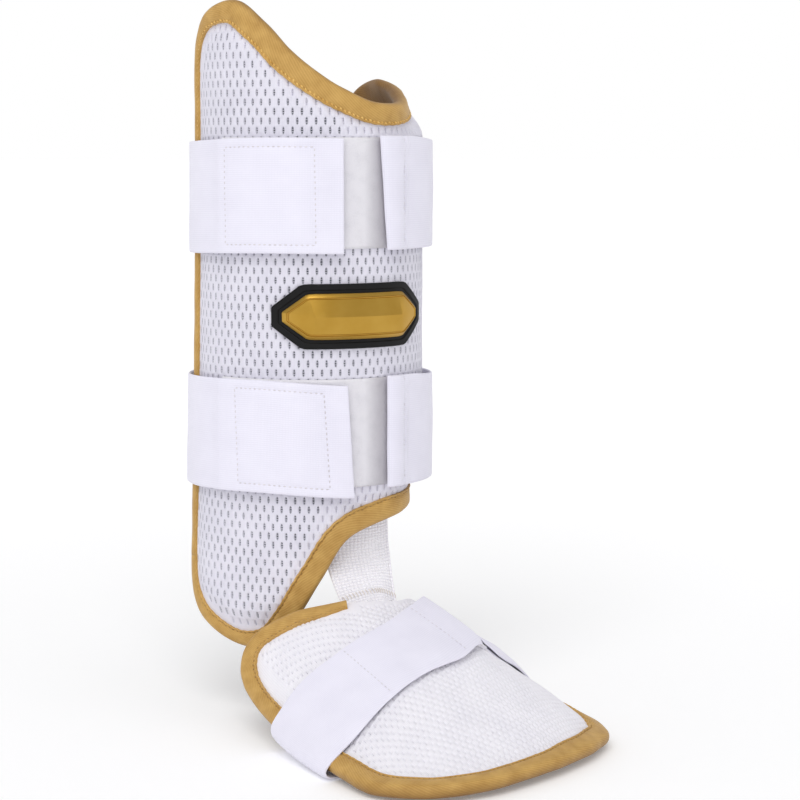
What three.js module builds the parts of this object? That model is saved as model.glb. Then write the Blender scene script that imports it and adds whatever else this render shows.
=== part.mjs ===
// A batter's leg guard for the left leg: a padded shin shell with a taped edge, two elastic straps round
// the leg, a moulded badge, and a domed foot pad that hangs from the shell on a length of webbing and has
// a strap of its own round the sole. Millimetres, +Z up, toes towards -Y, the outer side of the leg
// towards +X. The origin is on the leg's axis, midway between the two leg straps.

import * as THREE from "three";

const { degToRad, lerp, smoothstep, clamp } = THREE.MathUtils;

// Driving dimensions
const GAP = 0.4;
const SHELL_RADIUS = 62;
const SHELL_RADIUS_LATERAL = 60.5;
const SHELL_PADDING = { middle: 6.2, rim: 3.0 };
const LINING = { middle: 2.2, rim: 1.4 };
const PADDING_TAPER = { from: 11, to: 24 };
const SHELL_MIDDLE_ROWS = 1;
const ANKLE_FLARE = { depth: 5, power: 1.3, from: 100, to: -140 };
const FLARE_SIDE = { rear: -170, fullRear: -115, fullFront: -90, front: -45 };
const OUTER_SIDE = { from: 15, to: 70 };
const ANKLE_SIDE = { from: -50, to: -25 };
const RIM_ROLL = { front: 3.5, lateral: 8.5, ankle: 6, width: 22, fadeFrom: 4, fadeTo: 42 };
const TAPE = { gap: 0.6, thickness: 1.3, cover: 10.5, corner: 0.12 };
const STRAP = { width: 59.5, thickness: 1.6, hem: 3.0 };
const BAND_THICKNESS = 1.6;
const HOOK_THICKNESS = 1.2;
const FOOT_PLACE = { x: -7.2, y: -15.5, floor: -213.2 };
const TOE_OUT = 14;
const FOOT_PADDING = { middle: 6.5, rim: 4.0 };
const FOOT_MIDDLE_ROWS = 2;
const FOOT_ARCH_POWER = 2.4;
const FOOT_STRAP_THICKNESS = 1.5;
const WEBBING = { angle: 5, width: 37, thickness: 1.8 };

// Ribs of the shin shell: angle round the leg from the front (degrees, outer side positive) and the
// heights at which the padding starts and stops there.
const SHELL_RIBS = [
  { angle: -104.5, top: 121, bottom: -139 },
  { angle: -102.5, top: 139.5, bottom: -152 },
  { angle: -96.5, top: 152, bottom: -161.5 },
  { angle: -86, top: 162.5, bottom: -168.5 },
  { angle: -67, top: 166.5, bottom: -172 },
  { angle: -50, top: 155.2, bottom: -170 },
  { angle: -36, top: 140.3, bottom: -158 },
  { angle: -22, top: 128, bottom: -136 },
  { angle: -8, top: 118.2, bottom: -113.5 },
  { angle: 10, top: 111.3, bottom: -106.5 },
  { angle: 34, top: 111, bottom: -102.5 },
  { angle: 70, top: 118.5, bottom: -99.5 },
  { angle: 105, top: 128, bottom: -97 },
  { angle: 122, top: 126, bottom: -93 },
  { angle: 130, top: 118.5, bottom: -86 },
  { angle: 133.5, top: 105, bottom: -74 },
];

// Route of a leg strap, from its folded hem round the calf to its free tab: inner radius and thickness.
const STRAP_ROUTE = [
  { angle: 9, radius: 64.4, thickness: STRAP.hem },
  { angle: 22, radius: 64.4, thickness: STRAP.hem },
  { angle: 26, radius: 64.4, thickness: STRAP.thickness },
  { angle: 55, radius: 64.7, thickness: STRAP.thickness },
  { angle: 90, radius: 63.9, thickness: STRAP.thickness },
  { angle: 130, radius: 62.8, thickness: STRAP.thickness },
  { angle: 180, radius: 61.5, thickness: STRAP.thickness },
  { angle: 230, radius: 63.2, thickness: STRAP.thickness },
  { angle: 252, radius: 64.4, thickness: STRAP.thickness },
  { angle: 270, radius: 64.4, thickness: STRAP.thickness },
  { angle: 284, radius: 64.7, thickness: STRAP.thickness },
  { angle: 290, radius: 65.9, thickness: STRAP.thickness },
  { angle: 350, radius: 65.9, thickness: STRAP.thickness },
];
const LEG_STRAPS = [
  { name: "upper", bottom: 37 },
  { name: "lower", bottom: -88.5 },
];

// How far each leg strap hangs below its hem end on the way round.
const STRAP_DROP = [
  { angle: 9, upper: 0, lower: 0 },
  { angle: 100, upper: 0, lower: 0 },
  { angle: 180, upper: 2, lower: 2 },
  { angle: 250, upper: 3, lower: 3 },
  { angle: 309, upper: 1.2, lower: 1.2 },
  { angle: 350, upper: 1.5, lower: 4 },
];
const LOOP_BAND = { from: -72, to: 24, radius: 62.4, margin: 1 };
const HOOK_PATCH = { from: -68, to: -22, radius: 64.4, margin: 4 };

// The badge's outline, from one pointed end to the other: half its height at each place along it.
const BADGE = { angle: -2, height: 3, baseThickness: 2.2, plateThickness: 1.2, plateRidge: 1.8 };
const BADGE_BASE = [
  { along: -46, half: 5 },
  { along: -30, half: 17 },
  { along: 30, half: 17 },
  { along: 46, half: 5 },
];
const BADGE_PLATE = [
  { along: -40, half: 2.5 },
  { along: -27, half: 12 },
  { along: 27, half: 12 },
  { along: 40, half: 2.5 },
];

// Sections of the foot pad, from ankle to toe: half widths to either side of the crest, and the heights
// of the edges and of the crest above the floor.
const FOOT_SECTIONS = [
  { along: 0, medial: 60, lateral: 54, edge: 44, crest: 82 },
  { along: 30, medial: 68, lateral: 60, edge: 22, crest: 78 },
  { along: 65, medial: 76, lateral: 65, edge: 12, crest: 70.5 },
  { along: 100, medial: 83, lateral: 69, edge: 7.5, crest: 54 },
  { along: 145, medial: 90, lateral: 72, edge: 6.4, crest: 30 },
  { along: 175, medial: 91, lateral: 72, edge: 6.2, crest: 14 },
  { along: 192, medial: 91, lateral: 72, edge: 6.2, crest: 6.2 },
];

// Ribs of the foot pad: place across it (-1 inner edge, 1 outer edge) and where it starts and stops.
const FOOT_RIBS = [
  { across: -1, rear: 26, toe: 142 },
  { across: -0.98, rear: 19, toe: 154 },
  { across: -0.92, rear: 16, toe: 165 },
  { across: -0.8, rear: 19.5, toe: 177.5 },
  { across: -0.6, rear: 34.5, toe: 187 },
  { across: -0.35, rear: 57, toe: 191.5 },
  { across: 0, rear: 70, toe: 191.5 },
  { across: 0.35, rear: 57, toe: 188 },
  { across: 0.6, rear: 36, toe: 181.5 },
  { across: 0.8, rear: 21, toe: 170 },
  { across: 0.92, rear: 17, toe: 157 },
  { across: 0.98, rear: 19, toe: 147 },
  { across: 1, rear: 26, toe: 137 },
];
const TOE_CURVE = { from: 100, to: 175 };
const FOOT_TAPE_ENDS = { medial: -0.38, lateral: 0.3 };

// The foot strap where it lies over the pad: its two edges, from ankle to toe, and the height of its
// underside. It runs from the free tab over the crest to the inner edge, and from the outer edge to its hem.
const FOOT_STRAP_ROWS = [
  { across: -1, rear: 64, front: 120, rise: 2.8 },
  { across: -0.85, rear: 70, front: 125, rise: 3.2 },
  { across: -0.62, rear: 81.5, front: 122.5, rise: 3.9 },
  { across: -0.3, rear: 86.5, front: 121.5, rise: 3.9 },
  { across: 0, rear: 81, front: 120, rise: 3.9 },
  { across: 0.3, rear: 74, front: 111.5, rise: 3.9 },
  { across: 0.6, rear: 70, front: 113, rise: 2.6 },
  { across: 0.82, rear: 67, front: 113, rise: 2.6 },
  { across: 1, rear: 64, front: 111, rise: 2.8 },
];
const BAND_PARTS = 4;
const FOOT_TAB = { from: 0.3, to: -1, slant: 0.15 };
const FOOT_HEM = { from: 1, to: 0.6, slant: 0 };
const FOOT_BAND = { from: 0.76, to: -0.64, slant: 0, rise: GAP };
const FOOT_HOOK = { from: 0.06, to: -0.58, slant: 0.12, rise: 2.4 };

// How that strap turns under an edge of the pad: distances out from the edge and below it, and the way its
// outer side faces.
const SOLE_TURN = [
  { out: 2.7, below: 2, outward: 1, down: 0 },
  { out: 1.4, below: 4.2, outward: 0.7, down: 0.7 },
  { out: -5, below: 5.2, outward: 0, down: 1 },
];

// The webbing's way down the inside of the shell, and on under the rear edge of the foot pad.
const WEBBING_DROP = [
  { radius: 52.7, height: -58 },
  { radius: 52.7, height: -78 },
  { radius: 50.6, height: -94 },
  { radius: 50.6, height: -112 },
  { radius: 51.6, height: -128 },
];
const WEBBING_SEAT = -0.02;
const WEBBING_TUCK = [
  { along: 60, depth: 10 },
  { along: 66, depth: 5.6 },
  { along: 73, depth: 5.2 },
  { along: 84, depth: 7.9 },
];

const COLOURS = {
  mesh: { color: 0xf1f0f4, roughness: 0.85 },
  lining: { color: 0x22242c, roughness: 0.95 },
  tape: { color: 0xc49e5a, roughness: 0.7 },
  elastic: { color: 0xecebf5, roughness: 0.8 },
  loop: { color: 0xdcdce0, roughness: 0.95 },
  hook: { color: 0xe4e4ea, roughness: 0.6 },
  rubber: { color: 0x16161a, roughness: 0.55 },
  gold: { color: 0xb8923a, roughness: 0.35, metalness: 0.6 },
  webbing: { color: 0xeeeef2, roughness: 0.8 },
};

// Value of one column of a table at a place between its rows, along straight lines.
function straightAt(rows, place, at, column) {
  let next = rows.findIndex((row) => row[place] >= at);
  if (next === -1) next = rows.length - 1;
  const after = rows[Math.max(next, 1)];
  const before = rows[Math.max(next, 1) - 1];
  const share = clamp((at - before[place]) / (after[place] - before[place]), 0, 1);
  return lerp(before[column], after[column], share);
}

// The same along a smooth curve through the rows.
function curveAt(rows, place, at, column) {
  const last = rows.length - 1;
  const found = rows.findIndex((row) => row[place] >= at);
  const next = clamp(found === -1 ? last : found, 1, last);
  const slope = (i) => {
    const after = rows[Math.min(i + 1, last)];
    const before = rows[Math.max(i - 1, 0)];
    return (after[column] - before[column]) / (after[place] - before[place]);
  };
  const start = rows[next - 1];
  const end = rows[next];
  const span = end[place] - start[place];
  const t = (at - start[place]) / span;
  const blend = t * t * (3 - 2 * t);
  const lead = t * (1 - t) * (1 - t) * slope(next - 1) * span;
  const trail = t * t * (t - 1) * slope(next) * span;
  return lerp(start[column], end[column], blend) + lead + trail;
}

// Evenly spaced values from one number to another.
function steps(from, to, count) {
  return Array.from({ length: count + 1 }, (_, i) => lerp(from, to, i / count));
}

// Points of a smooth curve through a table of three columns, with more of them where its rows lie apart.
function ribPoints(rows, [place, first, second], spacing) {
  const knots = rows.map((row) => new THREE.Vector3(row[place], row[first], row[second]));
  const curve = new THREE.CatmullRomCurve3(knots);
  const points = [curve.getPoint(0)];
  for (let i = 1; i < rows.length; i += 1) {
    const parts = Math.max(2, Math.ceil((rows[i][place] - rows[i - 1][place]) / spacing));
    for (let part = 1; part <= parts; part += 1) {
      points.push(curve.getPoint((i - 1 + part / parts) / (rows.length - 1)));
    }
  }
  return points.map((point) => ({ [place]: point.x, [first]: point.y, [second]: point.z }));
}

// A closed solid between an outer and an inner line of points, carried from station to station.
function slab(stations, closed = false) {
  const count = stations[0].outer.length;
  const ring = 2 * count;
  const points = stations.flatMap(({ outer, inner }) => [...outer, ...[...inner].reverse()]);
  const faces = [];
  const quad = (a, b, c, d) => faces.push(a, b, c, a, c, d);
  const links = closed ? stations.length : stations.length - 1;
  for (let k = 0; k < links; k += 1) {
    const here = k * ring;
    const there = ((k + 1) % stations.length) * ring;
    for (let m = 0; m < ring; m += 1) {
      const n = (m + 1) % ring;
      if (m < count) quad(here + m, here + n, there + n, there + m);
      else quad(here + n, there + n, there + m, here + m);
    }
  }
  if (!closed) {
    const end = links * ring;
    for (let m = 0; m < count - 1; m += 1) {
      quad(ring - 1 - m, ring - 2 - m, m + 1, m);
      quad(end + m, end + m + 1, end + ring - 2 - m, end + ring - 1 - m);
    }
  }
  return facingOut(points, faces);
}

// A geometry whose faces all point out of the solid.
function facingOut(points, faces) {
  let volume = 0;
  for (let i = 0; i < faces.length; i += 3) {
    const [a, b, c] = [0, 1, 2].map((corner) => points[faces[i + corner]]);
    volume += new THREE.Vector3().crossVectors(b, c).dot(a);
  }
  const turned = volume < 0 ? faces.slice().reverse() : faces;
  const geometry = new THREE.BufferGeometry().setFromPoints(points);
  geometry.setIndex(turned);
  geometry.computeVertexNormals();
  return geometry;
}

function piece(name, look, geometry) {
  const mesh = new THREE.Mesh(geometry, new THREE.MeshStandardMaterial(COLOURS[look]));
  mesh.name = name;
  return mesh;
}

function polar(angle, radius, height) {
  const turn = degToRad(angle);
  return new THREE.Vector3(radius * Math.sin(turn), -radius * Math.cos(turn), height);
}

// The shin shell

const shellRibs = ribPoints(SHELL_RIBS, ["angle", "top", "bottom"], 9);
const shellRim = ribPoints(SHELL_RIBS, ["angle", "top", "bottom"], 1);

function rimAt(angle, end) {
  return straightAt(shellRim, "angle", angle, end);
}

// How far the inner side of the guard stands out over the ankle bone.
function ankleFlare(angle, height) {
  const { rear, fullRear, fullFront, front } = FLARE_SIDE;
  const side = smoothstep(angle, rear, fullRear) * (1 - smoothstep(angle, fullFront, front));
  const down = Math.max(0, ANKLE_FLARE.from - height) / (ANKLE_FLARE.from - ANKLE_FLARE.to);
  return ANKLE_FLARE.depth * side * down ** ANKLE_FLARE.power;
}

// Distances of a place on the shell from its two upright edges, its top and its bottom.
function shellMargins(angle, height) {
  const arc = SHELL_RADIUS * degToRad(1);
  return {
    sides: [(angle - SHELL_RIBS[0].angle) * arc, (SHELL_RIBS.at(-1).angle - angle) * arc],
    top: rimAt(angle, "top") - height,
    bottom: height - rimAt(angle, "bottom"),
  };
}

// Radius of the shell's outer face, which rolls in towards the leg along its top and bottom edges.
function shellFace(angle, height) {
  const { sides, top, bottom } = shellMargins(angle, height);
  const lateral = smoothstep(angle, OUTER_SIDE.from, OUTER_SIDE.to);
  const ankle = 1 - smoothstep(angle, ANKLE_SIDE.from, ANKLE_SIDE.to);
  const topRoll = lerp(RIM_ROLL.front, RIM_ROLL.lateral, lateral);
  const bottomRoll = lerp(topRoll, RIM_ROLL.ankle, ankle);
  const nearTop = Math.max(0, 1 - top / RIM_ROLL.width);
  const nearBottom = Math.max(0, 1 - bottom / RIM_ROLL.width);
  const inside = smoothstep(Math.min(...sides), RIM_ROLL.fadeFrom, RIM_ROLL.fadeTo);
  const roll = inside * (topRoll * nearTop ** 2 + bottomRoll * nearBottom ** 2);
  return lerp(SHELL_RADIUS, SHELL_RADIUS_LATERAL, lateral) + ankleFlare(angle, height) - roll;
}

// Share of the full padding at a place with these distances from the edges, near which it thins out.
function fullness(margins) {
  const { from, to } = PADDING_TAPER;
  return margins.reduce((share, margin) => share * clamp((margin - from) / (to - from), 0, 1), 1);
}

function shellDepths(angle, height) {
  const { sides, top, bottom } = shellMargins(angle, height);
  const full = fullness([...sides, top, bottom]);
  const padding = lerp(SHELL_PADDING.rim, SHELL_PADDING.middle, full);
  const lining = padding + GAP + lerp(LINING.rim, LINING.middle, full);
  return { padding, lining };
}

const shellOut = (angle, height, rise) => polar(angle, shellFace(angle, height) + rise, height);
const shellIn = (angle, height, rise) => shellOut(angle, height, -shellDepths(angle, height).lining - rise);

// Places along a rib from one rim to the other, closer together where the wall rolls in and thins out.
function ribPlaces(from, to, middleRows) {
  const margins = [0, TAPE.cover / 2, TAPE.cover, PADDING_TAPER.to];
  const low = margins.map((margin) => from + margin);
  const high = margins.map((margin) => to - margin).reverse();
  return [...low, ...steps(low.at(-1), high[0], middleRows + 1).slice(1, -1), ...high];
}

function shellWall(outerDepth, innerDepth) {
  const stations = shellRibs.map(({ angle, top, bottom }) => {
    const heights = ribPlaces(bottom, top, SHELL_MIDDLE_ROWS);
    const at = (height, depth) => shellOut(angle, height, -depth(shellDepths(angle, height)));
    return {
      outer: heights.map((height) => at(height, outerDepth)),
      inner: heights.map((height) => at(height, innerDepth)),
    };
  });
  return slab(stations);
}

function shinShell() {
  return shellWall(() => 0, (depths) => depths.padding);
}

function shellLining() {
  return shellWall((depths) => depths.padding + GAP, (depths) => depths.lining);
}

// Tape folded over an edge. The rim lists places on the two faces of the padding, going round with the
// padding on the left as seen from outside; each face gives a point raised off it.
function foldedTape(rim, outFace, inFace, closed) {
  const reach = TAPE.gap + TAPE.thickness;
  const stations = rim.map(([u, v], k) => {
    const before = rim[closed ? (k + rim.length - 1) % rim.length : Math.max(k - 1, 0)];
    const after = rim[closed ? (k + 1) % rim.length : Math.min(k + 1, rim.length - 1)];
    const inward = inwardStep(outFace, [u, v], before, after);
    const on = (face, depth, rise) => face(u + inward.u * depth, v + inward.v * depth, rise);
    const across = (depth, rise, share) => on(outFace, depth, rise).lerp(on(inFace, depth, rise), share);
    const line = (rise, corner) => [
      on(outFace, TAPE.cover, rise),
      on(outFace, TAPE.cover / 2, rise),
      on(outFace, corner, rise),
      across(-rise, 0, TAPE.corner),
      across(-rise, 0, 1 - TAPE.corner),
      on(inFace, corner, rise),
      on(inFace, TAPE.cover / 2, rise),
      on(inFace, TAPE.cover, rise),
    ];
    return { outer: line(reach, 0), inner: line(TAPE.gap, -TAPE.gap) };
  });
  return slab(stations, closed);
}

// The change of place on a face that goes one millimetre in from its rim.
function inwardStep(face, [u, v], before, after) {
  const small = 0.01;
  const alongU = face(u + small, v, 0).sub(face(u - small, v, 0)).divideScalar(2 * small);
  const alongV = face(u, v + small, 0).sub(face(u, v - small, 0)).divideScalar(2 * small);
  const normal = face(u, v, 1).sub(face(u, v, 0)).normalize();
  const tangent = face(...after, 0).sub(face(...before, 0)).normalize();
  const inward = normal.cross(tangent).normalize();
  const uu = alongU.dot(alongU);
  const uv = alongU.dot(alongV);
  const vv = alongV.dot(alongV);
  const iu = inward.dot(alongU);
  const iv = inward.dot(alongV);
  const scale = uu * vv - uv * uv;
  return { u: (iu * vv - iv * uv) / scale, v: (iv * uu - iu * uv) / scale };
}

function shellBinding() {
  const upright = ({ angle, top, bottom }) => {
    const heights = ribPlaces(bottom, top, SHELL_MIDDLE_ROWS).slice(1, -1);
    return heights.map((height) => [angle, height]);
  };
  const bottomEdge = shellRibs.map((rib) => [rib.angle, rib.bottom]);
  const outerEdge = upright(shellRibs.at(-1));
  const topEdge = shellRibs.map((rib) => [rib.angle, rib.top]).reverse();
  const innerEdge = upright(shellRibs[0]).reverse();
  const rim = [...bottomEdge, ...outerEdge, ...topEdge, ...innerEdge];
  return foldedTape(rim, shellOut, shellIn, true);
}

// The leg straps

// A band that follows the leg between two angles, standing on its edge.
function legBand(angles, bottom, width, radiusAt, thicknessAt, dropAt = () => 0) {
  const stations = angles.map((angle) => {
    const side = angle > 180 ? angle - 360 : angle;
    const low = bottom - dropAt(angle);
    const line = (depth) => [low, low + width].map((height) => {
      return polar(side, radiusAt(angle) + ankleFlare(side, height) + depth, height);
    });
    return { outer: line(thicknessAt(angle)), inner: line(0) };
  });
  return slab(stations);
}

function legStrap({ name, bottom }) {
  const [start, hemEnd, bandStart] = STRAP_ROUTE;
  const hem = steps(start.angle, hemEnd.angle, 2);
  const band = steps(bandStart.angle, STRAP_ROUTE.at(-1).angle, 46);
  const radiusAt = (angle) => curveAt(STRAP_ROUTE, "angle", angle, "radius");
  const thicknessAt = (angle) => straightAt(STRAP_ROUTE, "angle", angle, "thickness");
  const dropAt = (angle) => curveAt(STRAP_DROP, "angle", angle, name);
  return legBand([...hem, ...band], bottom, STRAP.width, radiusAt, thicknessAt, dropAt);
}

function loopBand({ bottom }) {
  const { from, to, radius, margin } = LOOP_BAND;
  const width = STRAP.width - 2 * margin;
  return legBand(steps(from, to, 14), bottom + margin, width, () => radius, () => BAND_THICKNESS);
}

function hookPatch({ name, bottom }) {
  const { from, to, radius, margin } = HOOK_PATCH;
  const dropAt = (angle) => curveAt(STRAP_DROP, "angle", angle + 360, name);
  const width = STRAP.width - 2 * margin;
  return legBand(steps(from, to, 8), bottom + margin, width, () => radius, () => HOOK_THICKNESS, dropAt);
}

// The badge

// A plate bent round the shell, with an outline from a table and a ridge along its middle.
function bentPlate(outline, rest, thickness, ridge) {
  const spans = outline.slice(1).map((row, i) => steps(outline[i].along, row.along, 5).slice(1));
  const places = [outline[0].along, ...spans.flat()];
  const stations = places.map((along) => {
    const half = straightAt(outline, "along", along, "half");
    const angle = BADGE.angle + along / (SHELL_RADIUS * degToRad(1));
    const line = (edge, middle) => [-half, 0, half].map((up) => {
      const height = BADGE.height + up;
      return polar(angle, SHELL_RADIUS + rest + (up === 0 ? middle : edge), height);
    });
    return { outer: line(thickness, thickness + ridge), inner: line(0, 0) };
  });
  return slab(stations);
}

function badgeBase() {
  return bentPlate(BADGE_BASE, GAP, BADGE.baseThickness, 0);
}

function badgePlate() {
  return bentPlate(BADGE_PLATE, 2 * GAP + BADGE.baseThickness, BADGE.plateThickness, BADGE.plateRidge);
}

// The foot pad, in a frame of its own: X to the outer side, toes towards -Y, Z up from the floor

const footRibs = ribPoints(FOOT_RIBS, ["across", "rear", "toe"], 0.1);
const footRim = ribPoints(FOOT_RIBS, ["across", "rear", "toe"], 0.02);

function footSection(along, column) {
  const last = FOOT_SECTIONS.at(-1).along;
  return curveAt(FOOT_SECTIONS, "along", Math.min(along, last), column);
}

// Distance by which the toe edge lies further back at a place across the pad than at its middle.
function toeLag(across) {
  return straightAt(footRim, "across", 0, "toe") - straightAt(footRim, "across", across, "toe");
}

// A point on the pad's upper face, which comes down to the floor along the curve of the toe edge.
function footCrown(across, along) {
  const half = footSection(along, across < 0 ? "medial" : "lateral");
  const edge = footSection(along, "edge");
  const toLast = along + toeLag(across) * smoothstep(along, TOE_CURVE.from, TOE_CURVE.to);
  const crest = footSection(toLast, "crest");
  const rise = (crest - edge) * (1 - Math.abs(across) ** FOOT_ARCH_POWER);
  return new THREE.Vector3(half * across, -along, edge + rise);
}

// A point raised off the pad's upper face.
function footOut(across, along, rise) {
  const small = 0.02;
  const sideways = footCrown(across + small, along).sub(footCrown(across - small, along));
  const rearwards = footCrown(across, along - small).sub(footCrown(across, along + small));
  const normal = sideways.cross(rearwards).normalize();
  return footCrown(across, along).addScaledVector(normal, rise);
}

function footPadding(across, along) {
  const rear = straightAt(footRim, "across", across, "rear");
  const toe = straightAt(footRim, "across", across, "toe");
  const half = footSection(along, across < 0 ? "medial" : "lateral");
  const full = fullness([along - rear, toe - along, (1 - Math.abs(across)) * half]);
  return lerp(FOOT_PADDING.rim, FOOT_PADDING.middle, full);
}

const footIn = (across, along, rise) => footOut(across, along, -footPadding(across, along) - rise);

function footPad() {
  const stations = footRibs.map(({ across, rear, toe }) => {
    const alongs = ribPlaces(rear, toe, FOOT_MIDDLE_ROWS);
    return {
      outer: alongs.map((along) => footOut(across, along, 0)),
      inner: alongs.map((along) => footIn(across, along, 0)),
    };
  });
  return slab(stations);
}

function footBinding() {
  const side = ({ across, rear, toe }) => {
    const alongs = ribPlaces(rear, toe, FOOT_MIDDLE_ROWS).slice(1, -1);
    return alongs.map((along) => [across, along]);
  };
  const rearEdge = footRibs.map((rib) => [rib.across, rib.rear]).reverse();
  const medialRear = rearEdge.filter(([across]) => across < FOOT_TAPE_ENDS.medial);
  const innerSide = side(footRibs[0]);
  const toeEdge = footRibs.map((rib) => [rib.across, rib.toe]);
  const outerSide = side(footRibs.at(-1)).reverse();
  const lateralRear = rearEdge.filter(([across]) => across > FOOT_TAPE_ENDS.lateral);
  const rim = [...medialRear, ...innerSide, ...toeEdge, ...outerSide, ...lateralRear];
  return foldedTape(rim, footOut, footIn, false);
}

function strapRow(across, column) {
  return curveAt(FOOT_STRAP_ROWS, "across", across, column);
}

// A band over the pad's upper face between two places across it; its first end is cut at a slant.
function footBand({ from, to, slant }, count, riseAt, thickness) {
  return steps(from, to, count).map((across, k) => {
    const places = steps(across - slant * (1 - k / count), across, BAND_PARTS);
    const line = (rise) => places.map((place, j) => {
      const along = lerp(strapRow(place, "rear"), strapRow(place, "front"), j / BAND_PARTS);
      return footOut(place, along, rise);
    });
    return { outer: line(riseAt(across) + thickness), inner: line(riseAt(across)) };
  });
}

// Stations of the strap where it turns under one edge of the pad, on to the floor.
function soleTurn(column, side) {
  const alongs = steps(strapRow(side, "rear"), strapRow(side, "front"), BAND_PARTS);
  return SOLE_TURN.map(({ out, below, outward, down }) => {
    const line = (depth) => alongs.map((along) => {
      const across = footSection(along, column) + out + outward * depth;
      const height = footSection(along, "edge") - below - down * depth;
      return new THREE.Vector3(side * across, -along, height);
    });
    return { outer: line(FOOT_STRAP_THICKNESS), inner: line(0) };
  });
}

function footStrap() {
  const riseAt = (across) => strapRow(across, "rise");
  const tab = footBand(FOOT_TAB, 16, riseAt, FOOT_STRAP_THICKNESS);
  const hem = footBand(FOOT_HEM, 6, riseAt, FOOT_STRAP_THICKNESS);
  return slab([...tab, ...soleTurn("medial", -1), ...soleTurn("lateral", 1).reverse(), ...hem]);
}

function footLoopBand() {
  return slab(footBand(FOOT_BAND, 12, () => FOOT_BAND.rise, BAND_THICKNESS));
}

function footHookPatch() {
  return slab(footBand(FOOT_HOOK, 7, () => FOOT_HOOK.rise, HOOK_THICKNESS));
}

// Webbing that hangs down the inside of the shell's front and is sewn under the rear edge of the pad.
function ankleWebbing(footFrame) {
  const places = steps(-WEBBING.width / 2, WEBBING.width / 2, 6);
  const drop = WEBBING_DROP.map(({ radius, height }) => {
    const angles = places.map((place) => WEBBING.angle + place / (radius * degToRad(1)));
    const line = (depth) => angles.map((angle) => polar(angle, radius - depth, height));
    return { outer: line(0), inner: line(WEBBING.thickness) };
  });
  const tuck = WEBBING_TUCK.map(({ along, depth }) => {
    const half = footSection(along, "medial");
    const line = (extra) => places.map((place) => {
      return footOut(WEBBING_SEAT + place / half, along, -depth - extra).applyMatrix4(footFrame);
    });
    return { outer: line(0), inner: line(WEBBING.thickness) };
  });
  return slab([...drop, ...tuck]);
}

// The guard

const guard = new THREE.Group();
guard.add(piece("shin_shell", "mesh", shinShell()));
guard.add(piece("shell_lining", "lining", shellLining()));
guard.add(piece("shell_binding", "tape", shellBinding()));
for (const strap of LEG_STRAPS) {
  guard.add(piece(`${strap.name}_strap`, "elastic", legStrap(strap)));
  guard.add(piece(`${strap.name}_loop_band`, "loop", loopBand(strap)));
  guard.add(piece(`${strap.name}_hook_patch`, "hook", hookPatch(strap)));
}
guard.add(piece("badge_base", "rubber", badgeBase()));
guard.add(piece("badge_plate", "gold", badgePlate()));

const foot = new THREE.Group();
foot.position.set(FOOT_PLACE.x, FOOT_PLACE.y, FOOT_PLACE.floor);
foot.rotation.z = degToRad(TOE_OUT);
foot.updateMatrix();
foot.add(piece("foot_pad", "mesh", footPad()));
foot.add(piece("foot_binding", "tape", footBinding()));
foot.add(piece("foot_strap", "elastic", footStrap()));
foot.add(piece("foot_loop_band", "loop", footLoopBand()));
foot.add(piece("foot_hook_patch", "hook", footHookPatch()));
guard.add(foot);
guard.add(piece("ankle_webbing", "webbing", ankleWebbing(foot.matrix)));

export default guard;
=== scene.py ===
"""A batter's leg guard for the left leg, dressed over its solids: holed mesh over the padding, folded twill
tape with its stitches, knitted elastic straps, loop bands, a moulded badge and woven webbing.

Shapes are worked out in millimetres, +Z up, toes towards -Y, the outer side of the leg towards +X.
"""
import math
from types import SimpleNamespace as Sizes

import bmesh
import bpy
import numpy as np
from mathutils import Matrix


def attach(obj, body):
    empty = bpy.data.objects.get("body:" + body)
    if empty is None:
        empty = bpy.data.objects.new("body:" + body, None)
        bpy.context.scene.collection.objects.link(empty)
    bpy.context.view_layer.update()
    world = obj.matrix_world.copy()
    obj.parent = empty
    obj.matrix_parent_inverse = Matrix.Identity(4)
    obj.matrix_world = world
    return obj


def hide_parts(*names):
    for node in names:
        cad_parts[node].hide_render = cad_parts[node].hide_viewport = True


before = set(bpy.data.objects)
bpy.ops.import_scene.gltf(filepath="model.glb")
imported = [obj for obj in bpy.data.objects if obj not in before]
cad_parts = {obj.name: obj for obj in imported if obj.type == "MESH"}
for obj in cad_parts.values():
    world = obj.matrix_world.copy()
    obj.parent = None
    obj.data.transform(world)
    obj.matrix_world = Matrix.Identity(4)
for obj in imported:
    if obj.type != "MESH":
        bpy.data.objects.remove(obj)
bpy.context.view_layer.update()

MM = 0.001


def table(columns, *rows):
    """Rows of numbers as named columns; the first column holds the places that the rows are for."""
    return {name: np.array(values, float) for name, values in zip(columns.split(), zip(*rows))}


# Driving dimensions of the shell; two numbers in brackets are where a change starts and ends
GAP = 0.4
SHELL_RADIUS = 62
SHELL_RADIUS_LATERAL = 60.5
SHELL_PADDING = Sizes(middle=6.2, rim=3.0)
LINING = Sizes(middle=2.2, rim=1.4)
PADDING_TAPER = (11, 24)
ANKLE_FLARE = Sizes(depth=5, power=1.3, top=100, bottom=-140)
FLARE_SIDE = Sizes(rear=(-170, -115), front=(-90, -45))
OUTER_SIDE = (15, 70)
ANKLE_SIDE = (-50, -25)
RIM_ROLL_FADE = (4, 42)
TOP_ROLL = Sizes(front=3.0, lateral=11.3, fade=(0, 23))
BOTTOM_ROLL = Sizes(front=1.2, lateral=10.0, ankle=4.0, fade=(6, 21))
ARC = SHELL_RADIUS * math.radians(1)

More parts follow.
